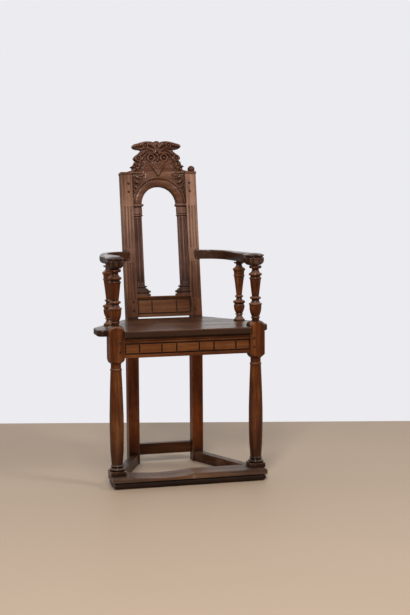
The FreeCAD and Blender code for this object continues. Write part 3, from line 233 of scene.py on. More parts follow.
def old_oak(name, along, browns, lean=0.0, wear=0.5, corner_shade_and_grime=0.85, gloss=0.30, coat=0.10, coat_rough=0.17,
            shade_and_grime_reach=(0.42, 0.97), arris=0.0018, rings=42.0, carved=0.0, top_sheen=0.0, low=(), ends=(),
            shaded_flanks=()):
    """Waxed old oak: its grain runs along an axis that leans about X, and its browns go from dark to light.
    wear is how much is rubbed at the edges, corner_shade_and_grime how dark the corners are painted, as shade
    and dirty wax, and top_sheen how much of what faces up is painted paler, as a sheen of light from above.
    gloss is the roughness of the wood, coat and coat_rough the amount and roughness of the wax.
    shade_and_grime_reach is how open a place is that is painted fully dark, or left clean, arris how far wear
    has rounded a corner, and rings the scale of the growth rings. carved is the painted shade, with dirty
    wax, in the hollows that a mesh carries.
    Each row of low gives browns for what lies below a height, and ends for what lies far out from the
    middle, after the two places between which they change. shaded_flanks gives one brown, painted shade, for
    what doesn't face up: its share, the brown, and the side that it faces, or None."""
    material, shader, place = new_material(name)
    stretch = [GRAIN_STRETCH if axis == along else 1.0 for axis in "XYZ"]
    leaning = place.node("ShaderNodeMapping", {}, {"Vector": place, "Rotation": (lean, 0.0, 0.0)})
    grain = place.node("ShaderNodeMapping", {}, {"Vector": leaning, "Scale": stretch})

    def noise(where, scale, detail, rough, warp=0.0):
        """Soft random shades over the wood."""
        return place.node("ShaderNodeTexNoise", {}, {"Vector": where, "Scale": scale, "Detail": detail,
                                                     "Roughness": rough, "Distortion": warp})

    def along_axis(vector, axis):
        """One part of a place or a direction."""
        return place.node("ShaderNodeSeparateXYZ", {}, {"Vector": vector}, axis)

    def openness(reach, inside):
        """How clear of other faces a place is: low in corners or, from inside the wood, at sharp edges."""
        return place.node("ShaderNodeAmbientOcclusion", {"samples": REACH_SAMPLES, "inside": inside},
                          {"Distance": reach}, "AO")

    def coloured(trio):
        """The grain's tone in three browns."""
        return tone.node("ShaderNodeValToRGB", {"stops": tuple(zip(TONE_STOPS, trio))}, {"Fac": tone})

    figure = noise(grain, rings, *FIGURE_NOISE)
    streak = noise(grain, *STREAK_NOISE)
    pores = noise(grain, *PORE_NOISE).between(*PORE_RANGE)
    cloud = noise(place, *CLOUD_NOISE)
    blotch = noise(place, *BLOTCH_NOISE)
    patches = blotch.between(*PATCH_RANGE)
    tone = figure * FIGURE_TONE + streak * STREAK_TONE + cloud * CLOUD_TONE - TONE_DROP
    rounded = place.node("ShaderNodeBevel", {"samples": ARRIS_SAMPLES}, {"Radius": arris})
    brown = coloured(browns)
    if ends:
        ends_from, ends_to, end_browns = ends
        across = along_axis(place, "X")
        far_out = across.maths("ABSOLUTE", across).between(ends_from, ends_to)
        brown = far_out.tint(brown, coloured(end_browns))
    for low_from, low_to, low_browns in low:
        brown = along_axis(place, "Z").between(low_from, low_to).tint(coloured(low_browns), brown)
    # Painted shade: what doesn't face up, and turns to the given side, takes a dark brown.
    if shaded_flanks:
        share, flank_shade_brown, facing = shaded_flanks
        upright = 1.0 - along_axis(rounded, "Z").between(*FLANK_SHADE_RANGE)
        if facing:
            toward = place.node("ShaderNodeVectorMath", {"operation": "DOT_PRODUCT"}, {0: rounded, 1: facing},
                                "Value")
            upright = upright * toward.between(*FACING_RANGE)
        brown = (upright * share).tint(brown, flank_shade_brown)
    # Painted shade, with some dirty wax: the colour is darker where other faces crowd close, in corners and
    # grooves.
    shade_and_grime = (1.0 - openness(CORNER_REACH, False).between(*shade_and_grime_reach)) * corner_shade_and_grime
    rubbed = (1.0 - openness(EDGE_REACH, True).between(*EDGE_RANGE)) * patches * wear
    # On a carved mesh, its hollow attribute is painted as shade, with some dirty wax, and its swells as
    # rubbed wear.
    if carved:
        hollow = place.node("ShaderNodeAttribute", {"attribute_name": "hollow"}, {}, "Fac")
        shade_and_grime = shade_and_grime * CARVED_CORNERS + hollow.between(*HOLLOW_RANGE) * carved
        rubbed = rubbed * CARVED_CORNERS + (0.0 - hollow).between(*SWELL_RANGE) * SWELL_RUBBED
    # Painted sheen: patches of what faces up are paler, as if lit from above.
    if top_sheen:
        brown = (along_axis(rounded, "Z").between(*TOP_SHEEN_RANGE) * patches * top_sheen).tint(brown, TOP_SHEEN_COLOUR)
    dark, _, light = browns
    brown = (pores * PORE_SHARE).tint(brown, tuple(channel * PORE_DARKER for channel in dark))
    brown = shade_and_grime.tint(brown, tuple(channel * SHADE_AND_GRIME_DARKER for channel in dark))
    brown = rubbed.tint(brown, tuple(min(1.0, channel * RUBBED_PALER) for channel in light))
    height = streak * STREAK_HIGH + figure * FIGURE_HIGH - pores * PORE_DEEP + blotch * BLOTCH_HIGH
    relief = place.node("ShaderNodeBump", {}, {"Strength": BUMP_SHARE, "Distance": BUMP_HEIGHT,
                                               "Height": height, "Normal": rounded})
    dull = gloss + blotch * BLOTCH_DULL + shade_and_grime * GRIME_DULL + pores * PORE_DULL - rubbed * RUBBED_SHINE
    wax = (figure.between(*WAX_RANGE) * WAX_MORE + WAX_LEAST) * coat
    connect(shader, Base_Color=brown, Normal=relief, Roughness=dull, Coat_Weight=wax)
    shader.inputs["Coat Roughness"].default_value = coat_rough
    shader.inputs["Specular IOR Level"].default_value = WOOD_SPECULAR
    return material


def finish_nodes(material, *names):
    """Gives CAD nodes their wood."""
    for name in names:
        nodes[name].data.materials.clear()
        nodes[name].data.materials.append(material)


finish_nodes(old_oak("foot_rail_oak", "X", FOOT_RAIL_BROWNS, wear=0.9, gloss=0.38, low=FOOT_RAIL_SHADED_FOOT,
                     ends=FOOT_RAIL_ENDS), "foot_rail")


# Front posts: each is one length of oak, turned below as a leg and above as an arm support, and left
# square where the rails are tenoned and pegged. The leg swells a little more than its solid.
SIDES = ("left", -1), ("right", 1)
LEG_BEHIND_SILL = 0.057
LEG_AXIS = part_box("foot_rail")[0][1] + LEG_BEHIND_SILL
FRONT_POST_X = 0.2425
LEG_SWELL = ((0.085, 0.0), (0.100, 0.0019), (0.200, 0.0022), (0.280, 0.0015), (0.395, 0.0012), (0.404, 0.0))
FRONT_POST_BROWNS = (0.018, 0.0034, 0.0007), (0.086, 0.0200, 0.0032), (0.230, 0.078, 0.018)
FRONT_POST_LOW = ((0.10, 0.26, ((0.009, 0.0017, 0.0004), (0.042, 0.0092, 0.0014), (0.105, 0.033, 0.008))),
                  (0.075, 0.090, ((0.007, 0.0024, 0.0011), (0.027, 0.0105, 0.0055), (0.075, 0.036, 0.021))))
# Turned parts: their grooves are painted dark as shade, and patches that face up are painted pale as a sheen.
TURNED_FINISH = {"wear": 0.45, "corner_shade_and_grime": 1.0, "gloss": 0.24, "coat": 0.24, "coat_rough": 0.10,
                 "shade_and_grime_reach": (0.55, 1.0), "top_sheen": 0.55}
LEAST_RADIUS = 1e-6


def fit_piece(name, mesh, material, node):
    """A piece that rides on the chair and stands for one CAD node."""
    mesh.materials.clear()
    mesh.materials.append(material)
    piece = bpy.data.objects.new(name, mesh)
    bpy.context.scene.collection.objects.link(piece)
    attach(piece, "root")
    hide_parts(node)
    return piece


def turned_stouter(node, name, axis, swell, material):
    """A turned piece like a CAD node, with its radius about the axis grown by swell at the given heights."""
    mesh = nodes[node].data.copy()
    mesh.name = name
    points = np.empty(3 * len(mesh.vertices), np.float32)
    mesh.vertices.foreach_get("co", points)
    points = points.reshape(-1, 3)
    outward = points[:, :2] - axis
    radius = np.maximum(np.linalg.norm(outward, axis=1), LEAST_RADIUS)
    points[:, :2] += outward * (np.interp(points[:, 2], *zip(*swell)) / radius)[:, None]
    mesh.vertices.foreach_set("co", points.ravel())
    mesh.update()
    fit_piece(name, mesh, material, node)


front_post_oak = old_oak("front_post_oak", "Z", FRONT_POST_BROWNS, low=FRONT_POST_LOW, **TURNED_FINISH)
for side_name, side in SIDES:
    turned_stouter("front_post_" + side_name, "turned_post_" + side_name, (side * FRONT_POST_X, LEG_AXIS),
                   LEG_SWELL, front_post_oak)


# Front rail: an oak board tenoned and pegged between the front posts, under the seat's front edge.
# Its face is parted into raised fields by grooves, which hold old wax and are painted darker as shade.
FRONT_RAIL_BROWNS = (0.020, 0.0042, 0.0010), (0.098, 0.0262, 0.0056), (0.195, 0.069, 0.019)
finish_nodes(old_oak("front_rail_oak", "X", FRONT_RAIL_BROWNS, wear=0.5, corner_shade_and_grime=0.95, shade_and_grime_reach=(0.60, 1.0)),
             "front_rail")


# Rails under the seat at its sides and rear: plain oak boards, tenoned into the posts.
# They are out of the light and were never waxed.
HIDDEN_BROWNS = (0.016, 0.0045, 0.0014), (0.050, 0.0155, 0.0050), (0.105, 0.042, 0.017)
HIDDEN_FINISH = {"wear": 0.2, "gloss": 0.48, "coat": 0.0}
finish_nodes(old_oak("hidden_rail_oak", "Y", HIDDEN_BROWNS, **HIDDEN_FINISH),
             "side_rail_left", "side_rail_right")
finish_nodes(old_oak("rear_rail_oak", "X", HIDDEN_BROWNS, **HIDDEN_FINISH), "rear_rail")


# Stretchers: plain oak bars near the floor. Those at the sides are tenoned into the foot rail and the back
# posts, and rubbed more by feet than the one at the rear, which is tenoned between the back posts.
SIDE_STRETCHER_BROWNS = (0.014, 0.0040, 0.0012), (0.050, 0.0165, 0.0052), (0.125, 0.056, 0.026)
REAR_STRETCHER_BROWNS = (0.012, 0.0032, 0.0008), (0.044, 0.0118, 0.0026), (0.100, 0.034, 0.010)
finish_nodes(old_oak("side_stretcher_oak", "Y", SIDE_STRETCHER_BROWNS, wear=0.8, gloss=0.34),
             "side_stretcher_left", "side_stretcher_right")
finish_nodes(old_oak("rear_stretcher_oak", "X", REAR_STRETCHER_BROWNS, wear=0.6, gloss=0.34),
             "rear_stretcher")


# Back posts: square oak, upright to the seat and then leaning, with three flutes worked in the face.
# They are painted paler from the arms up, as a sheen where their leaning faces catch the light, and the left
# one is brown again at its top. Below the arms they are darker and redder, partly as painted shade under the
# seat and arms, and darker still near the floor.
RAKE = math.radians(9.4)
BACK_POST_PAINTED_SHEEN = (0.070, 0.0250, 0.0118), (0.280, 0.150, 0.1020), (0.395, 0.240, 0.172)
BACK_POST_BROWN = (0.055, 0.0180, 0.0078), (0.200, 0.096, 0.0570), (0.300, 0.168, 0.110)
BACK_POST_LOW = ((0.90, 0.96, BACK_POST_PAINTED_SHEEN),
                 (0.60, 0.88, ((0.030, 0.0085, 0.0034), (0.115, 0.0430, 0.0210), (0.190, 0.085, 0.045))),
                 (0.47, 0.52, ((0.052, 0.0098, 0.0015), (0.185, 0.0380, 0.0056), (0.290, 0.085, 0.016))),
                 (0.02, 0.20, ((0.014, 0.0034, 0.0008), (0.052, 0.0135, 0.0028), (0.110, 0.036, 0.010))))
for side_name, top_browns in (("left", BACK_POST_BROWN), ("right", BACK_POST_PAINTED_SHEEN)):
    finish_nodes(old_oak("back_post_oak_" + side_name, "Z", top_browns, lean=RAKE, wear=0.5, gloss=0.28,
                         corner_shade_and_grime=0.85, shade_and_grime_reach=(0.68, 1.0), arris=0.003, low=BACK_POST_LOW),
                 "back_post_" + side_name)


# Seat: one wide oak board, notched round the front posts, with ears that carry the rear balusters.
# It is rounded along its edges and greyed by use, and its sides, which don't face up, are painted dark brown
# as shade.
SEAT_BROWNS = (0.010, 0.0034, 0.0014), (0.066, 0.026, 0.0130), (0.185, 0.090, 0.050)
SEAT_SHADED_FLANKS = 0.90, (0.024, 0.0066, 0.0018), None
finish_nodes(old_oak("seat_oak", "X", SEAT_BROWNS, wear=0.6, gloss=0.24, coat=0.40, shaded_flanks=SEAT_SHADED_FLANKS,
                     arris=0.006, rings=15.0), "seat_board")


# Rear balusters: slim turned oak supports, with a round tenon in the seat below and in the arm above.
# They are a little stouter than their solids.
REAR_BALUSTER_X, REAR_BALUSTER_BEHIND = 0.232, 0.164
BALUSTER_SWELL = ((0.529, 0.0018), (0.740, 0.0018))
REAR_BALUSTER_BROWNS = (0.022, 0.0044, 0.0010), (0.104, 0.0270, 0.0050), (0.250, 0.092, 0.026)
rear_baluster_oak = old_oak("rear_baluster_oak", "Z", REAR_BALUSTER_BROWNS, **TURNED_FINISH)
for side_name, side in SIDES:
    turned_stouter("rear_baluster_" + side_name, "turned_baluster_" + side_name,
                   (side * REAR_BALUSTER_X, LEG_AXIS + REAR_BALUSTER_BEHIND), BALUSTER_SWELL,
                   rear_baluster_oak)


# Arms: each is sawn to a bow from thick oak, rounded along its edges and rubbed pale by hands. It is tenoned
# into the back post and sits on two turned supports. Its end is carved as a knuckle: a domed plate with a
# moulded rim, and under it a ring of leaf lobes that draws in over the support. Drops are in millimetres.
ARM_TOP, ARM_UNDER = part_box("arm_right")[1][2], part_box("arm_right")[0][2]
ARM_INNER = ((0.1225, 0.345), (0.1680, 0.338), (0.1980, 0.315), (0.2140, 0.280), (0.2190, 0.220),
             (0.2147, 0.130), (0.2110, 0.060), (0.2130, 0.010))
ARM_OUTER = ((0.1375, 0.381), (0.1820, 0.362), (0.2220, 0.332), (0.2460, 0.280), (0.2550, 0.210),
             (0.2620, 0.110), (0.2650, 0.050), (0.2620, 0.010))
ARM_OUTER_SHIFT, ARM_SHIFT_FULL, ARM_SHIFT_NONE = {"left": -0.013, "right": 0.0}, 0.20, 0.33
ARM_INNER_EDGE, ARM_OUTER_EDGE, ARM_CROWN = 0.26, 0.85, 0.0012
ARM_RISE, ARM_RISE_BACK, ARM_RISE_FRONT = 0.0070, 0.30, 0.03
ARM_TUCK_START, ARM_TUCK_END, ARM_TUCK_SHARE = 0.050, 0.012, 0.60
ARM_RINGS, ARM_ROUND, CURVE_STEPS = 110, 96, 24
ARM_BROWNS = (0.012, 0.0055, 0.0035), (0.080, 0.0480, 0.0370), (0.330, 0.260, 0.230)
# The arm's inner and front sides, which don't face up, are painted dark as shade.
ARM_FLANK_SHADE, ARM_FLANK_SHADE_BROWN, ARM_FLANK_SHADE_FRONT = 0.92, (0.048, 0.0140, 0.0050), -0.7
KNUCKLE_PLAN = {"left": (0.2430, 0.0295), "right": (0.2370, 0.0340)}
KNUCKLE_DEEP, KNUCKLE_BACK, KNUCKLE_SQUARE = 0.0350, 0.0010, 2.5
KNUCKLE_CROWN, KNUCKLE_ROUND, KNUCKLE_LEVELS = 0.0090, 168, 120
KNUCKLE_OUTLINE = ((0.0, 0.02), (0.2, 0.25), (0.8, 0.50), (2.0, 0.72), (3.8, 0.89), (5.2, 0.965),
                   (6.2, 0.995), (7.6, 1.0), (8.8, 0.985), (9.5, 0.94), (10.2, 0.885), (11.8, 0.87),
                   (13.0, 0.90), (14.6, 0.955), (17.5, 0.985), (22.0, 0.99), (26.5, 0.98), (30.5, 0.95),
                   (34.0, 0.88), (37.0, 0.78), (39.4, 0.68), (40.3, 0.60))
KNUCKLE_GROOVE, KNUCKLE_GROOVE_WIDTH = 11.0, 1.3
KNUCKLE_BROWNS = (0.009, 0.0027, 0.0011), (0.036, 0.0115, 0.0049), (0.125, 0.060, 0.034)
LOBES, LOBE_CUT, LOBE_TOP, LOBE_FOOT = 10, 0.13, 12.0, 39.0
LOBE_BLUNT, LOBE_NARROW, LOBE_HOLLOW, LOBE_SWELL = 0.5, 5, 1.5, 0.5
MM_PER_METRE = 1000


def smooth_line(points, count):
    """Points spread evenly along a curve through the given ones."""
    points = np.array(points, float)
    ends = np.vstack([2 * points[0] - points[1], points, 2 * points[-1] - points[-2]])
    share = np.linspace(0, 1, CURVE_STEPS, endpoint=False)[:, None]
    runs = [0.5 * (2 * p1 + (p2 - p0) * share + (2 * p0 - 5 * p1 + 4 * p2 - p3) * share ** 2
                   + (3 * p1 - p0 - 3 * p2 + p3) * share ** 3)
            for p0, p1, p2, p3 in zip(ends, ends[1:], ends[2:], ends[3:])]
    curve = np.vstack(runs + [points[-1:]])
    along = np.concatenate([[0], np.cumsum(np.linalg.norm(np.diff(curve, axis=0), axis=1))])
    steps = np.linspace(0, along[-1], count)
    return np.stack([np.interp(steps, along, curve[:, axis]) for axis in range(curve.shape[1])], axis=1)


def eased(value, low, high):
    """0 below low, 1 above high, and smooth between them."""
    share = np.clip((value - low) / (high - low), 0, 1)
    return share * share * (3 - 2 * share)


def squared_off(wave, power):
    """A sine or cosine bent towards a square, by a power below 1."""
    return np.sign(wave) * np.abs(wave) ** power


def new_piece(name, points, faces, material, node):
    """A mesh piece that rides on the chair and stands for one CAD node."""
    mesh = bpy.data.meshes.new(name)
    mesh.from_pydata([tuple(point) for point in points], [], [tuple(face) for face in faces])
    mesh.validate()
    mesh.shade_smooth()
    return fit_piece(name, mesh, material, node)


def carry_hollow(piece, values):
    """Keeps with a carved piece how hollow its face is at each point, which its wood paints as shade."""
    hollow = piece.data.attributes.new("hollow", "FLOAT", "POINT")
    hollow.data.foreach_set("value", np.asarray(values, np.float32))


def ring_faces(rings, around):
    """Quads between successive rings of points, and a face over each end."""
    faces = []
    for start in range(0, (rings - 1) * around, around):
        for here in range(around):
            beside = (here + 1) % around
            faces.append((start + here, start + beside, start + around + beside, start + around + here))
    return faces + [tuple(reversed(range(around))), tuple(range((rings - 1) * around, rings * around))]


def arm_points(outer_shift):
    """The skin of one arm, ring by ring from the back post to where it ends inside the knuckle."""
    lows, highs = smooth_line(ARM_INNER, ARM_RINGS), smooth_line(ARM_OUTER, ARM_RINGS)
    highs[:, 0] += outer_shift * eased(-highs[:, 1], -ARM_SHIFT_NONE, -ARM_SHIFT_FULL)
    middles, halves = (lows + highs) / 2, (highs - lows) / 2
    tuck = ARM_TUCK_SHARE + (1 - ARM_TUCK_SHARE) * eased(middles[:, 1], ARM_TUCK_END, ARM_TUCK_START)
    turn = np.linspace(0, 2 * math.pi, ARM_ROUND, endpoint=False)
    roundness = np.where(np.cos(turn) > 0, ARM_OUTER_EDGE, ARM_INNER_EDGE)
    flat, tall = squared_off(np.cos(turn), roundness), squared_off(np.sin(turn), roundness)
    across = middles[:, None, :] + halves[:, None, :] * (tuck[:, None] * flat[None, :])[:, :, None]
    crown = ARM_CROWN * (1 - flat ** 2) * (tall > 0)
    rise = ARM_RISE * (1 - eased(middles[:, 1], ARM_RISE_FRONT, ARM_RISE_BACK))
    height = (ARM_TOP - ARM_UNDER) / 2 * tuck[:, None] * tall[None, :] - crown[None, :] + rise[:, None]
    return np.concatenate([across, (height + (ARM_TOP + ARM_UNDER) / 2)[:, :, None]], axis=2).reshape(-1, 3)


def knuckle_points(middle, half):
    """The carved end of one arm, ring by ring from its crown down to the support, how hollow each point is,
    and the number of rings."""
    drop, reach = smooth_line(KNUCKLE_OUTLINE, KNUCKLE_LEVELS).T
    turn = np.linspace(0, 2 * math.pi, KNUCKLE_ROUND, endpoint=False)
    plan_x, plan_y = [squared_off(wave(turn), 2 / KNUCKLE_SQUARE) for wave in (np.cos, np.sin)]
    band = np.sin(math.pi * np.clip((drop - LOBE_TOP) / (LOBE_FOOT - LOBE_TOP), 0, 1)) ** LOBE_BLUNT
    valley = np.abs(np.cos(turn * LOBES / 2)) ** LOBE_NARROW
    spread = reach[:, None] * (1 - LOBE_CUT * band[:, None] * valley[None, :])
    x = middle + half * spread * plan_x[None, :]
    y = KNUCKLE_BACK + KNUCKLE_DEEP * spread * plan_y[None, :]
    z = np.broadcast_to((ARM_TOP + KNUCKLE_CROWN - drop / MM_PER_METRE)[:, None], x.shape)
    # How hollow each point is, which the wood paints as shade: the valleys between the lobes and the groove
    # under the rim are darker, and the swells of the lobes rubbed paler.
    groove = np.exp(-((drop - KNUCKLE_GROOVE) / KNUCKLE_GROOVE_WIDTH) ** 2)
    hollow = band[:, None] * (valley[None, :] * LOBE_HOLLOW - LOBE_SWELL) + groove[:, None]
    return np.stack([x, y, z], axis=2).reshape(-1, 3), hollow.ravel(), len(drop)


knuckle_oak = old_oak("knuckle_oak", "Y", KNUCKLE_BROWNS, wear=0.7, gloss=0.22, coat=0.45, carved=0.62)
for side_name, side in SIDES:
    arm_oak = old_oak("arm_oak_" + side_name, "Y", ARM_BROWNS, wear=0.3, gloss=0.22, coat=0.60,
                      shaded_flanks=(ARM_FLANK_SHADE, ARM_FLANK_SHADE_BROWN, (-side, ARM_FLANK_SHADE_FRONT, 0.0)))
    arm_skin = arm_points(ARM_OUTER_SHIFT[side_name])
    knuckle_skin, knuckle_hollow, knuckle_rings = knuckle_points(*KNUCKLE_PLAN[side_name])
    for skin, rings, around, name, oak in (
            (arm_skin, ARM_RINGS, ARM_ROUND, "carved_arm_" + side_name, arm_oak),
            (knuckle_skin, knuckle_rings, KNUCKLE_ROUND, "arm_knuckle_" + side_name, knuckle_oak)):
        faces = ring_faces(rings, around)
        # Faces look outward: the left side is a mirror image, and a knuckle's rings run downward.
        if (side < 0) != (oak is knuckle_oak):
            faces = [face[::-1] for face in faces]
        piece = new_piece(name, skin * (side, 1, 1) + (0, LEG_AXIS, 0), faces, oak,
                          "arm_" + side_name)
        if oak is knuckle_oak:
            carry_hollow(piece, knuckle_hollow)


# Lower back rail: an oak board tenoned and pegged between the back posts. Its face has grooved fields,
# and its top is a cornice that the pilasters stand on.
LOWER_BACK_BROWNS = (0.034, 0.0100, 0.0036), (0.115, 0.041, 0.0165), (0.190, 0.082, 0.036)
finish_nodes(old_oak("lower_back_rail_oak", "X", LOWER_BACK_BROWNS, lean=RAKE, wear=0.5, corner_shade_and_grime=0.80,
                     shade_and_grime_reach=(0.60, 1.0)), "lower_back_rail")


# Pilasters: fluted oak strips with a moulded base and capital, set beside the back posts. Each moulding is a
# row of rounds and hollows, cut with planes; its hollows and the flutes hold old wax and are painted dark as
# shade, and the pilaster is darker towards its foot.
BACK_BEHIND_LEGS, BACK_FOOT = 0.315, 0.528
RAKE_FOOT = np.array([0.0, LEG_AXIS + BACK_BEHIND_LEGS, BACK_FOOT])
# From here sizes are in millimetres, up the leaning back from its foot. A moulding's points are heights, and
# shares of how far it stands out.
PILASTER_FOOT, PILASTER_TOP, PILASTER_POST, PILASTER_WIDTH = 79.0, 410.0, 98.0, 31.0
PILASTER_FACE, PILASTER_REAR, PILASTER_PROUD = 8.0, 30.0, 7.5
BASE_HEIGHT, BASE_REACH, CAPITAL_HEIGHT, CAPITAL_REACH = 42.0, 19.0, 44.0, 7.0
BASE_MOULDING = ((0, 0.92), (1.5, 1.0), (6.5, 1.0), (8.5, 0.93), (9.2, 0.70), (11.6, 0.70), (12.4, 0.93),
                 (14.5, 1.0), (18, 1.0), (20.5, 0.92), (21.2, 0.64), (23.6, 0.62), (26, 0.48), (29, 0.32),
                 (29.8, 0.14), (32, 0.12), (32.8, 0.34), (35, 0.42), (37.2, 0.34), (38, 0.06), (40.4, 0.0),
                 (42, 0.0))
CAPITAL_MOULDING = ((0, 0.0), (1, 0.05), (1.8, 0.45), (3.6, 0.60), (5.6, 0.45), (6.4, 0.08), (8, 0.08),
                    (8.8, 0.28), (32, 0.28), (32.8, 0.10), (34, 0.12), (35, 0.45), (37, 0.80), (37.8, 1.0),
                    (44, 1.0))
MOULDING_STEP, SHAFT_STEP, FACE_POINTS = 0.6, 3.0, 56
FLUTE_PITCH, FLUTE_RADIUS, FLUTE_DEPTH, FLUTE_MARGIN = 12.0, 4.0, 3.4, 9.0
FLUTE_HOLLOW, MOULDING_HOLLOW, MOULDING_SWELL, MOULDING_NEAR = 0.62, 6, -0.3, 3.0
PILASTER_CREASE = math.radians(40.0)
# Browns, with the heights in metres below which they change.
PILASTER_BROWNS = (0.020, 0.0072, 0.0042), (0.146, 0.069, 0.0490), (0.270, 0.160, 0.122)
PILASTER_LOW = ((0.64, 0.71, ((0.009, 0.0031, 0.0017), (0.052, 0.0220, 0.0130), (0.120, 0.062, 0.040))),
                (0.607, 0.618, ((0.016, 0.0055, 0.0030), (0.100, 0.0430, 0.0230), (0.190, 0.100, 0.060))))


def raked(x, depth, height):
    """From millimetres across, behind and up the leaning back, to metres in the chair."""
    sin, cos = math.sin(RAKE), math.cos(RAKE)
    flat = np.stack([x, depth * cos + height * sin, height * cos - depth * sin], axis=1) / MM_PER_METRE
    return flat + RAKE_FOOT


def pilaster_points():
    """The skin of one pilaster, ring by ring from its foot, how hollow each point is, and the number of
    rings."""
    shaft_low, shaft_high = PILASTER_FOOT + BASE_HEIGHT, PILASTER_TOP - CAPITAL_HEIGHT
    levels = np.concatenate([np.arange(PILASTER_FOOT, shaft_low, MOULDING_STEP),
                             np.arange(shaft_low, shaft_high, SHAFT_STEP),
                             np.arange(shaft_high, PILASTER_TOP, MOULDING_STEP), [PILASTER_TOP]])
    base = np.interp(levels - PILASTER_FOOT, *zip(*BASE_MOULDING), right=0)
    capital = np.interp(levels - shaft_high, *zip(*CAPITAL_MOULDING), left=0)
    share = base + capital
    nearby = np.array([np.mean(share[np.abs(levels - level) < MOULDING_NEAR]) for level in levels])
    inner = PILASTER_POST - PILASTER_WIDTH - base * BASE_REACH - capital * CAPITAL_REACH
    across = np.linspace(0, 1, FACE_POINTS)
    x = inner[:, None] + (PILASTER_POST - inner)[:, None] * across[None, :]
    middle = PILASTER_POST - PILASTER_WIDTH / 2
    beyond = np.maximum(shaft_low + FLUTE_MARGIN - levels, levels - shaft_high + FLUTE_MARGIN)
    beyond = np.maximum(beyond, 0)[:, None]
    off = np.abs(np.abs(x - middle) - FLUTE_PITCH / 2)
    flute = np.sqrt(np.clip(1 - (off ** 2 + beyond ** 2) / FLUTE_RADIUS ** 2, 0, 1))
    depth = PILASTER_FACE - share[:, None] * PILASTER_PROUD + flute * FLUTE_DEPTH
    rear_x, rear_depth = x[:, [-1, 0]], np.full((len(levels), 2), PILASTER_REAR)
    # How hollow each point is, which the wood paints as shade: dark in the flutes and in the hollows of the
    # mouldings.
    hollow = flute * FLUTE_HOLLOW
    hollow = hollow + np.clip((nearby - share) * MOULDING_HOLLOW, MOULDING_SWELL, 1)[:, None]
    rings = [np.concatenate(pair, axis=1)
             for pair in ((x, rear_x), (depth, rear_depth), (hollow, 0 * rear_x))]
    height = np.broadcast_to(levels[:, None], rings[0].shape)
    return raked(rings[0].ravel(), rings[1].ravel(), height.ravel()), rings[2].ravel(), len(levels)


pilaster_oak = old_oak("pilaster_oak", "Z", PILASTER_BROWNS, lean=RAKE, wear=0.5, shade_and_grime_reach=(0.55, 1.0),
                       carved=0.62, low=PILASTER_LOW)
pilaster_skin, pilaster_hollow, pilaster_rings = pilaster_points()
pilaster_faces = ring_faces(pilaster_rings, FACE_POINTS + 2)
for side_name, side in SIDES:
    piece = new_piece("moulded_pilaster_" + side_name, pilaster_skin * (side, 1, 1),
                      [face[::side] for face in pilaster_faces], pilaster_oak,
                      "pilaster_" + side_name)
    piece.data.set_sharp_from_angle(angle=PILASTER_CREASE)
    carry_hollow(piece, pilaster_hollow)


# Crest panel: one thick oak board, held by tongues in the back posts, sawn to the arch below and to the
# crest above. Its face is carved: wings and leaves that spring from a stem, scrolls, two rosettes, a hanging
# fruit, leaf sprays over the arch, and a grooved moulding round the opening. Sizes here are in millimetres.
PANEL_FACE, PANEL_BACK, PANEL_HALF, CREST_SEAT = 8.0, 34.0, 98.0, 526.0
CREST_HALF, CREST_TOP, GRID_STEP = 114.0, 639.0, 1.0
ARCH_SPRING, ARCH_RADIUS, ARCH_POINTS = 410.0, 64.0, 60
CREST_EDGE = (
    ((113, 526), (111, 529), (105, 531), (98, 532.5), (94, 535), (92, 538.5), (92.5, 542)),
    ((92.5, 542), (99, 546.5)),
    ((99, 546.5), (94.5, 549), (90, 551.5), (87, 556), (85, 561), (82, 565), (80, 568.5)),
    ((80, 568.5), (84, 572), (86, 577), (84, 582.5), (79, 587.5), (72, 592), (66, 597), (61, 602),
     (58, 606.5)),
    ((58, 606.5), (64, 608.5), (72, 609.5), (79, 611), (84.5, 613), (88, 616.5), (89, 620.5), (87.5, 624.5),
     (83.5, 627.5), (75, 630), (65, 632.5), (55, 635), (46, 637), (37, 638), (28, 637.5), (20, 636.3),
     (14, 635), (11, 634)),
    ((11, 634), (9, 637), (5, 638.8), (0, 639)),
)
EDGE_STEPS, LINE_POINTS, FAR_OFF, SHORTEST = 12, 60, 1e9, 1e-9
GROUND, SPRAY_GROUND = -2.6, -3.4
SPRAY_ARCH, SPRAY_INNER, SPRAY_TOP, SPRAY_OUTER = (97.5, 99.5), (49, 53), (520.5, 523), (94.5, 96.5)
SPRAY_SLANT, SPRAY_SLANT_FROM = 0.2, 500
FOLIAGE_TOP, FOLIAGE_INNER, FOLIAGE_FOOT = (560, 572), (46, 52), (522, 526)
FOLIAGE_SLANT, FOLIAGE_WAVE, FOLIAGE_WAVE_STEP = 0.28, 3, 4
# Rolls are long rounds: points along each, half widths at its start, middle and end, and height.
ROLLS = (
    (((4, 600), (9, 614), (20, 626), (36, 631), (55, 628.5), (74, 623), (85, 618)), (3.5, 8.5, 5.0), 3.8),
    (((2, 604), (5, 618), (11, 630), (22, 635), (36, 635.5)), (2.5, 4.0, 2.5), 5.2),
    (((7, 596), (18, 607), (34, 614), (50, 613), (62, 609)), (3.0, 6.5, 3.0), 4.2),
    (((4, 591), (14, 595), (28, 596), (40, 592), (47, 584)), (2.5, 4.2, 2.5), 4.4),
    (((71, 585.5), (61, 589), (51, 595), (44, 602), (35, 605)), (3.0, 4.2, 2.2), 3.8),
    (((57, 580), (61, 569), (67, 557), (71, 543), (74, 530)), (2.2, 3.6, 2.0), 3.2),
    (((38, 592), (46, 588), (52, 580), (56, 571)), (2.0, 3.4, 2.0), 3.4),
    (((97, 524), (84, 524.5), (72, 523), (62, 525)), (3.2, 3.4, 1.8), 3.6),
    (((92, 450), (90, 470), (89, 495), (91, 516)), (1.4, 2.0, 2.0), 1.6),
)
ROLL_PLACES = 0, 0.5, 1
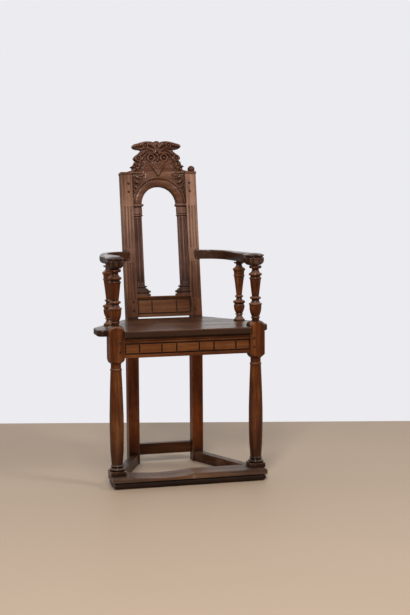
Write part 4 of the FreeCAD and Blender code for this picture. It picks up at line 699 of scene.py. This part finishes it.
# Gouge cuts: points along each, half width, and depth.
GOUGES = (
    (((5, 602), (12, 616), (24, 627), (42, 630.5)), 1.7, 2.4),
    (((4, 607), (8, 621), (14, 631), (26, 636)), 1.3, 1.8),
    (((8, 604), (19, 617), (34, 624.5), (52, 624)), 1.6, 2.2),
    (((9, 597.5), (20, 607.5), (36, 613), (52, 611)), 1.5, 2.2),
    (((66, 566), (68, 556), (71, 545)), 1.4, 2.0), (((73, 567), (78, 558), (85, 552)), 1.4, 2.0),
    (((62, 540), (70, 536), (80, 533)), 1.4, 2.0), (((84, 541), (91, 537), (97, 531)), 1.3, 1.8),
    (((6, 593), (16, 596), (30, 595.5), (41, 589)), 1.2, 1.5),
    (((3.5, 637), (2.2, 630), (1.2, 622)), 1.2, 1.8), (((58, 628), (66, 619)), 1.4, 2.0),
    (((69, 627), (76, 616)), 1.4, 2.0), (((80, 624), (84, 614)), 1.3, 1.8),
    (((62, 551), (64, 546), (65, 541)), 1.0, 1.2),
)
GOUGE_RUN, GOUGE_START, GOUGE_BLUNT = 0.9, 0.05, 0.5
# Rings of the rosettes and scrolls: across, up, radius, half width, and height.
RINGS = ((23.5, 577.5, 12.0, 4.4, 5.2), (70.0, 577.0, 9.4, 3.4, 5.0), (43.0, 623.5, 8.2, 2.8, 6.2))
RING_SUNK = 0.6
# Beads and leaves: across, up, half length, half width, lean in degrees, and height. Leaves are blunter, and
# their faces tilt outward and up.
BEADS = (
    (0, 587, 5.0, 6.5, 0, 5.2), (0, 630, 7.0, 10, 0, 4.8), (65, 548, 4.6, 9.0, 14, 4.6),
    (79, 556, 4.2, 8.0, -18, 4.6), (77, 541, 4.0, 7.5, -6, 3.8), (88.5, 546.5, 7.5, 3.6, 20, 3.6),
    (88, 531.5, 8.0, 4.4, -24, 4.4), (102, 527, 8.5, 3.4, -12, 3.8), (62, 514, 7.0, 3.8, -24, 3.4),
    (52, 518.5, 5.0, 2.8, -8, 2.6), (66, 504, 5.5, 3.2, -40, 3.0),
)
LEAVES = (
    (78, 509, 8.5, 4.2, 38, 4.0), (80, 491.5, 10.0, 4.6, 40, 4.6), (83.5, 473.5, 9.5, 4.4, 44, 4.4),
    (88, 456.5, 8.0, 3.4, 54, 3.8), (92, 440, 6.5, 2.4, 64, 3.0), (69, 552, 3.8, 6.6, 8, 5.4),
    (84, 560, 3.4, 6.0, -16, 5.2), (87, 535, 7.0, 4.0, -30, 4.8),
)
LEAF_OUT, LEAF_UP, LEAF_BLUNT = 0.268, 0.063, 0.35
# Studs, each in a pit: across, up, radius, height of the pit, and of the stud.
STUDS = ((23.5, 577.5, 5.0, -3.4, 5.6), (70, 577, 4.4, -3.0, 5.2), (43, 623.5, 4.6, -1.0, 7.2),
         (0, 568, 4.8, -1.6, 5.0), (59.5, 623.5, 4.0, 1.2, 6.6), (70.5, 622, 3.7, 1.2, 6.4),
         (81, 620, 3.5, 1.0, 6.2))
STUD_PIT = 1.5
# Hanging fruit: its half width at each height, and the crossed cuts on it.
FRUIT = ((513, 3.0), (520, 10.0), (530, 17.0), (540, 23.0), (550, 28.0), (557, 30.0), (562, 27.0), (566, 9.0))
FRUIT_TOP, FRUIT_SUNK, FRUIT_FULL = 9.5, 0.5, 1.1
FRUIT_HATCH, FRUIT_HATCH_DEPTH, FRUIT_HATCH_NARROW = 9.6, 2.4, 2.6
FRUIT_HATCH_ACROSS, FRUIT_HATCH_LEANS, FRUIT_HATCH_FROM = 0.8, (-0.62, 0.62), 540
# Arch moulding, by the distance from the arch's centre: a round, a fillet with a groove, and a lip.
ARCH_ROUND, ARCH_ROUND_HALF, ARCH_ROUND_TOP, ARCH_ROUND_FALL = 77, 11, 1.2, 1.4
ARCH_FILLET, ARCH_FILLET_TOP, ARCH_BAND = (88, 91), 1.8, 97.5
ARCH_GROOVE, ARCH_GROOVE_WIDTH, ARCH_GROOVE_DEPTH = 90, 1.5, 3.6
ARCH_LIP, ARCH_LIP_WIDTH, ARCH_LIP_FALL = 67, 3, 3.0
CHISEL, CHISEL_STEP, CHISEL_DEPTH = np.random.default_rng(7), 7, 0.5
SOFTEN_PASSES, BLUR_PASSES = 3, 9
# Painted shade in the carving: how much its hollows darken, and how much darker the sunk ground is.
HOLLOW_CUT, HOLLOW_CUT_SHARE = 1.8, 0.75
HOLLOW_TOP, HOLLOW_SPAN, HOLLOW_LEAST, HOLLOW_GROUND, HOLLOW_SHIFT = 2.0, 4.5, -0.4, 0.45, 0.18
EDGE_FALL, EDGE_FALL_WIDTH = 2.4, 3.2
CREST_BROWNS = (0.025, 0.0080, 0.0034), (0.104, 0.0380, 0.0184), (0.210, 0.104, 0.060)

# The board's outline: from the top of the arch down its right side, out to the post, up and round the crest
# to its middle, and then the same on the left.
edge_runs = [smooth_line(run, EDGE_STEPS * (len(run) - 1) + 1) if len(run) > 2 else np.array(run, float)
             for run in CREST_EDGE]
right_edge = np.vstack([edge_runs[0]] + [run[1:] for run in edge_runs[1:]])
arch_turn = np.linspace(0, math.pi / 2, ARCH_POINTS)
arch_edge = np.stack([ARCH_RADIUS * np.cos(arch_turn), ARCH_SPRING + ARCH_RADIUS * np.sin(arch_turn)], axis=1)
foot_edge = np.array([(PANEL_HALF, ARCH_SPRING), (PANEL_HALF, CREST_SEAT)])
half_edge = np.vstack([arch_edge[::-1], foot_edge, right_edge])
crest_outline = np.vstack([half_edge, half_edge[-2:0:-1] * (-1, 1)])

# A grid over the face, with how far inside the outline each point is and the outline's nearest point.
columns = np.arange(-CREST_HALF, CREST_HALF + GRID_STEP / 2, GRID_STEP)
rows = np.arange(ARCH_SPRING, CREST_TOP + GRID_STEP / 2, GRID_STEP)
grid_x, grid_h = [plane.ravel() for plane in np.meshgrid(columns, rows)]
mirror_x = np.abs(grid_x)
gap, inside = np.full(grid_x.shape, FAR_OFF), np.zeros(grid_x.shape, bool)
nearest = np.zeros((len(grid_x), 2))
for (x0, h0), (x1, h1) in zip(crest_outline, np.roll(crest_outline, -1, axis=0)):
    share = (grid_x - x0) * (x1 - x0) + (grid_h - h0) * (h1 - h0)
    share = np.clip(share / max((x1 - x0) ** 2 + (h1 - h0) ** 2, SHORTEST), 0, 1)
    foot_x, foot_h = x0 + share * (x1 - x0), h0 + share * (h1 - h0)
    far = np.hypot(grid_x - foot_x, grid_h - foot_h)
    closer = far < gap
    gap[closer], nearest[closer, 0], nearest[closer, 1] = far[closer], foot_x[closer], foot_h[closer]
    if h0 != h1:
        spans = (grid_h >= h0) != (grid_h >= h1)
        inside ^= spans & (grid_x < x0 + (grid_h - h0) * (x1 - x0) / (h1 - h0))
depth_in = np.where(inside, gap, -gap)


def from_line(points):
    """How far each grid point lies from a curve, and at what share of its length."""
    line = smooth_line(points, LINE_POINTS)
    far, place = np.full(grid_x.shape, FAR_OFF), np.zeros(grid_x.shape)
    for step, (x, h) in enumerate(line):
        here = np.hypot(mirror_x - x, grid_h - h)
        closer = here < far
        far[closer], place[closer] = here[closer], step / (len(line) - 1)
    return far, place


def dome(share):
    """A round's height, from 1 at its middle to 0 at its edge."""
    return np.sqrt(np.clip(1 - share ** 2, 0, 1))


def neighbours(plane):
    """The sum of each point's four neighbours on a grid."""
    padded = np.pad(plane, 1, mode="edge")
    return padded[:-2, 1:-1] + padded[2:, 1:-1] + padded[1:-1, :-2] + padded[1:-1, 2:]


# The sunk ground under the leaf sprays and the foliage, and what is carved on it, as heights over the face.
arch_far = np.hypot(grid_x, grid_h - ARCH_SPRING)
slanted = mirror_x + (grid_h - SPRAY_SLANT_FROM) * SPRAY_SLANT
sprays = eased(arch_far, *SPRAY_ARCH) * eased(slanted, *SPRAY_INNER)
sprays = sprays * (1 - eased(grid_h, *SPRAY_TOP)) * (1 - eased(mirror_x, *SPRAY_OUTER))
upper = eased(grid_h, *FOLIAGE_TOP)
wavy = mirror_x + (grid_h - FOLIAGE_TOP[0]) * FOLIAGE_SLANT
wavy = wavy + FOLIAGE_WAVE * np.cos(grid_h / FOLIAGE_WAVE_STEP)
foliage = (upper + (1 - upper) * eased(wavy, *FOLIAGE_INNER)) * eased(grid_h, *FOLIAGE_FOOT)
relief = GROUND * foliage + SPRAY_GROUND * sprays
for points, widths, top in ROLLS:
    far, place = from_line(points)
    relief = np.maximum(relief, GROUND + (top - GROUND) * dome(far / np.interp(place, ROLL_PLACES, widths)))
fruit = dome(mirror_x / np.interp(grid_h, *zip(*FRUIT))) ** FRUIT_FULL
fruit = fruit * ((grid_h > FRUIT[0][0]) & (grid_h < FRUIT[-1][0]))
hatch = [(grid_x * FRUIT_HATCH_ACROSS + lean * (grid_h - FRUIT_HATCH_FROM)) / FRUIT_HATCH % 1
         for lean in FRUIT_HATCH_LEANS]
hatch = np.maximum(*[np.abs(share - 0.5) * 2 for share in hatch])
scales = np.clip(1 - FRUIT_HATCH_NARROW * (1 - hatch), 0, 1) * FRUIT_HATCH_DEPTH
fruit_top = (FRUIT_TOP + FRUIT_SUNK) * fruit - FRUIT_SUNK - scales
relief = np.where(fruit > 0, np.maximum(relief, fruit_top), relief)
for row in BEADS + LEAVES:
    x, h, long, wide, lean, top = row
    turn = math.radians(lean)
    run = (mirror_x - x) * math.cos(turn) + (grid_h - h) * math.sin(turn)
    rise = (grid_h - h) * math.cos(turn) - (mirror_x - x) * math.sin(turn)
    swell = dome(np.hypot(run / long, rise / wide))
    if row in LEAVES:
        swell = swell ** LEAF_BLUNT
        top = top - LEAF_OUT * (mirror_x - x) - LEAF_UP * (grid_h - h)
    relief = np.where(swell > 0, np.maximum(relief, GROUND + (top - GROUND) * swell), relief)
for points, width, depth in GOUGES:
    far, place = from_line(points)
    cut = np.sin(math.pi * np.clip(place * GOUGE_RUN + GOUGE_START, 0, 1)) ** GOUGE_BLUNT
    relief = relief - depth * np.clip(1 - far / width, 0, 1) * cut
for x, h, radius, width, top in RINGS:
    far = np.hypot(mirror_x - x, grid_h - h)
    relief = np.where(far < radius, GROUND - RING_SUNK, relief)
    rim = dome((far - radius) / width)
    relief = np.where(rim > 0, np.maximum(relief, GROUND + (top - GROUND) * rim), relief)
for x, h, radius, pit, top in STUDS:
    far = np.hypot(mirror_x - x, grid_h - h) / radius
    relief = np.where(far < STUD_PIT, np.minimum(relief, pit), relief)
    relief = np.where(far < 1, pit + (top - pit) * dome(far), relief)
band = ARCH_ROUND_TOP - ARCH_ROUND_FALL * ((arch_far - ARCH_ROUND) / ARCH_ROUND_HALF) ** 2
band = band + (ARCH_FILLET_TOP - band) * eased(arch_far, *ARCH_FILLET)
band = band - ARCH_GROOVE_DEPTH * np.exp(-((arch_far - ARCH_GROOVE) / ARCH_GROOVE_WIDTH) ** 2)
lip = ARCH_ROUND_TOP - ARCH_LIP_FALL * (ARCH_LIP - arch_far) / ARCH_LIP_WIDTH
relief = np.where(arch_far < ARCH_BAND, np.where(arch_far < ARCH_LIP, lip, band), relief)

# Uneven chisel work, softened by wax and hands, then how hollow each point is, for painted shade, and the
# rubbed outer edge.
patches = CHISEL.random((len(rows) // CHISEL_STEP + 2, len(columns) // CHISEL_STEP + 2))
patches = np.array([np.interp(np.arange(len(columns)) / CHISEL_STEP, np.arange(len(row)), row)
                    for row in patches])
patches = np.array([np.interp(np.arange(len(rows)) / CHISEL_STEP, np.arange(len(line)), line)
                    for line in patches.T]).T
relief = relief.reshape(len(rows), len(columns)) + (patches - 0.5) * CHISEL_DEPTH
for step in range(SOFTEN_PASSES):
    relief = (relief * 4 + neighbours(relief)) / 8
blurred = relief
for step in range(BLUR_PASSES):
    blurred = neighbours(blurred) / 4
# The wood paints hollows darker, as shade: where the face lies below its blurred surround, and on the sunk
# ground of the foliage and sprays.
hollow = np.clip((blurred - relief) / HOLLOW_CUT, -1, 1).ravel() * HOLLOW_CUT_SHARE
relief = relief.ravel()
sunk = np.clip((HOLLOW_TOP - relief) / HOLLOW_SPAN, HOLLOW_LEAST, 1) * HOLLOW_GROUND + HOLLOW_SHIFT
hollow = hollow + sunk * np.maximum(foliage, sprays)
relief = relief - EDGE_FALL * (1 - eased(depth_in, 0.0, EDGE_FALL_WIDTH))

# The board's mesh: the carved face, its border moved onto the outline, then the sawn edge and the back.
kept = depth_in > -0.5 * GRID_STEP
snapped = kept & (depth_in < 0.5 * GRID_STEP)
flat_x, flat_h = np.where(snapped, nearest[:, 0], grid_x), np.where(snapped, nearest[:, 1], grid_h)
number = np.arange(len(grid_x)).reshape(len(rows), len(columns))
cells = np.stack([number[:-1, :-1], number[:-1, 1:], number[1:, 1:], number[1:, :-1]], axis=2).reshape(-1, 4)
cells = cells[kept[cells].all(axis=1)]
used = np.unique(cells)
place_of = np.full(len(grid_x), -1)
place_of[used] = np.arange(len(used))
cells = place_of[cells]
borders = np.concatenate([cells[:, [0, 1]], cells[:, [1, 2]], cells[:, [2, 3]], cells[:, [3, 0]]])
twins = {(b, a) for a, b in borders.tolist()}
follows = {a: b for a, b in borders.tolist() if (a, b) not in twins}
loop = [next(iter(follows))]
while follows[loop[-1]] != loop[0]:
    loop.append(follows[loop[-1]])
front = raked(flat_x[used], PANEL_FACE - relief[used], flat_h[used])
rear = raked(flat_x[used][loop], np.full(len(loop), PANEL_BACK), flat_h[used][loop])
count = len(front)
wall_faces = []
for here in range(len(loop)):
    after = (here + 1) % len(loop)
    wall_faces.append((loop[after], count + after, count + here, loop[here]))
back_face = tuple(reversed(range(count, count + len(loop))))
crest_faces = cells.tolist() + wall_faces + [back_face]
crest_oak = old_oak("crest_oak", "X", CREST_BROWNS, lean=RAKE, wear=0.5, gloss=0.30, coat=0.40,
                    coat_rough=0.20, carved=0.35)
crest = new_piece("carved_crest", np.vstack([front, rear]), crest_faces, crest_oak,
                  "crest_panel")
carry_hollow(crest, np.concatenate([hollow[used], np.zeros(len(rear))]))


# Caps: a thin oak board on the top of each back post. Only the right one still has its turned finial, whose
# round tenon goes through the cap into the post. All are as dark and waxed as the crest.
finish_nodes(crest_oak, "post_cap_left", "post_cap_right", "finial")


# Pegs: riven oak, driven from the front through the tenons of the front rail and the lower back rail, and
# through the tongues of the crest panel. They stand a little proud, with their end grain to the front.
PEG_BROWNS = (0.012, 0.0040, 0.0015), (0.036, 0.0130, 0.0055), (0.070, 0.029, 0.013)
finish_nodes(old_oak("peg_oak", "Y", PEG_BROWNS, wear=0.3, gloss=0.38),
             "front_rail_pegs", "lower_back_rail_pegs", "crest_panel_pegs")
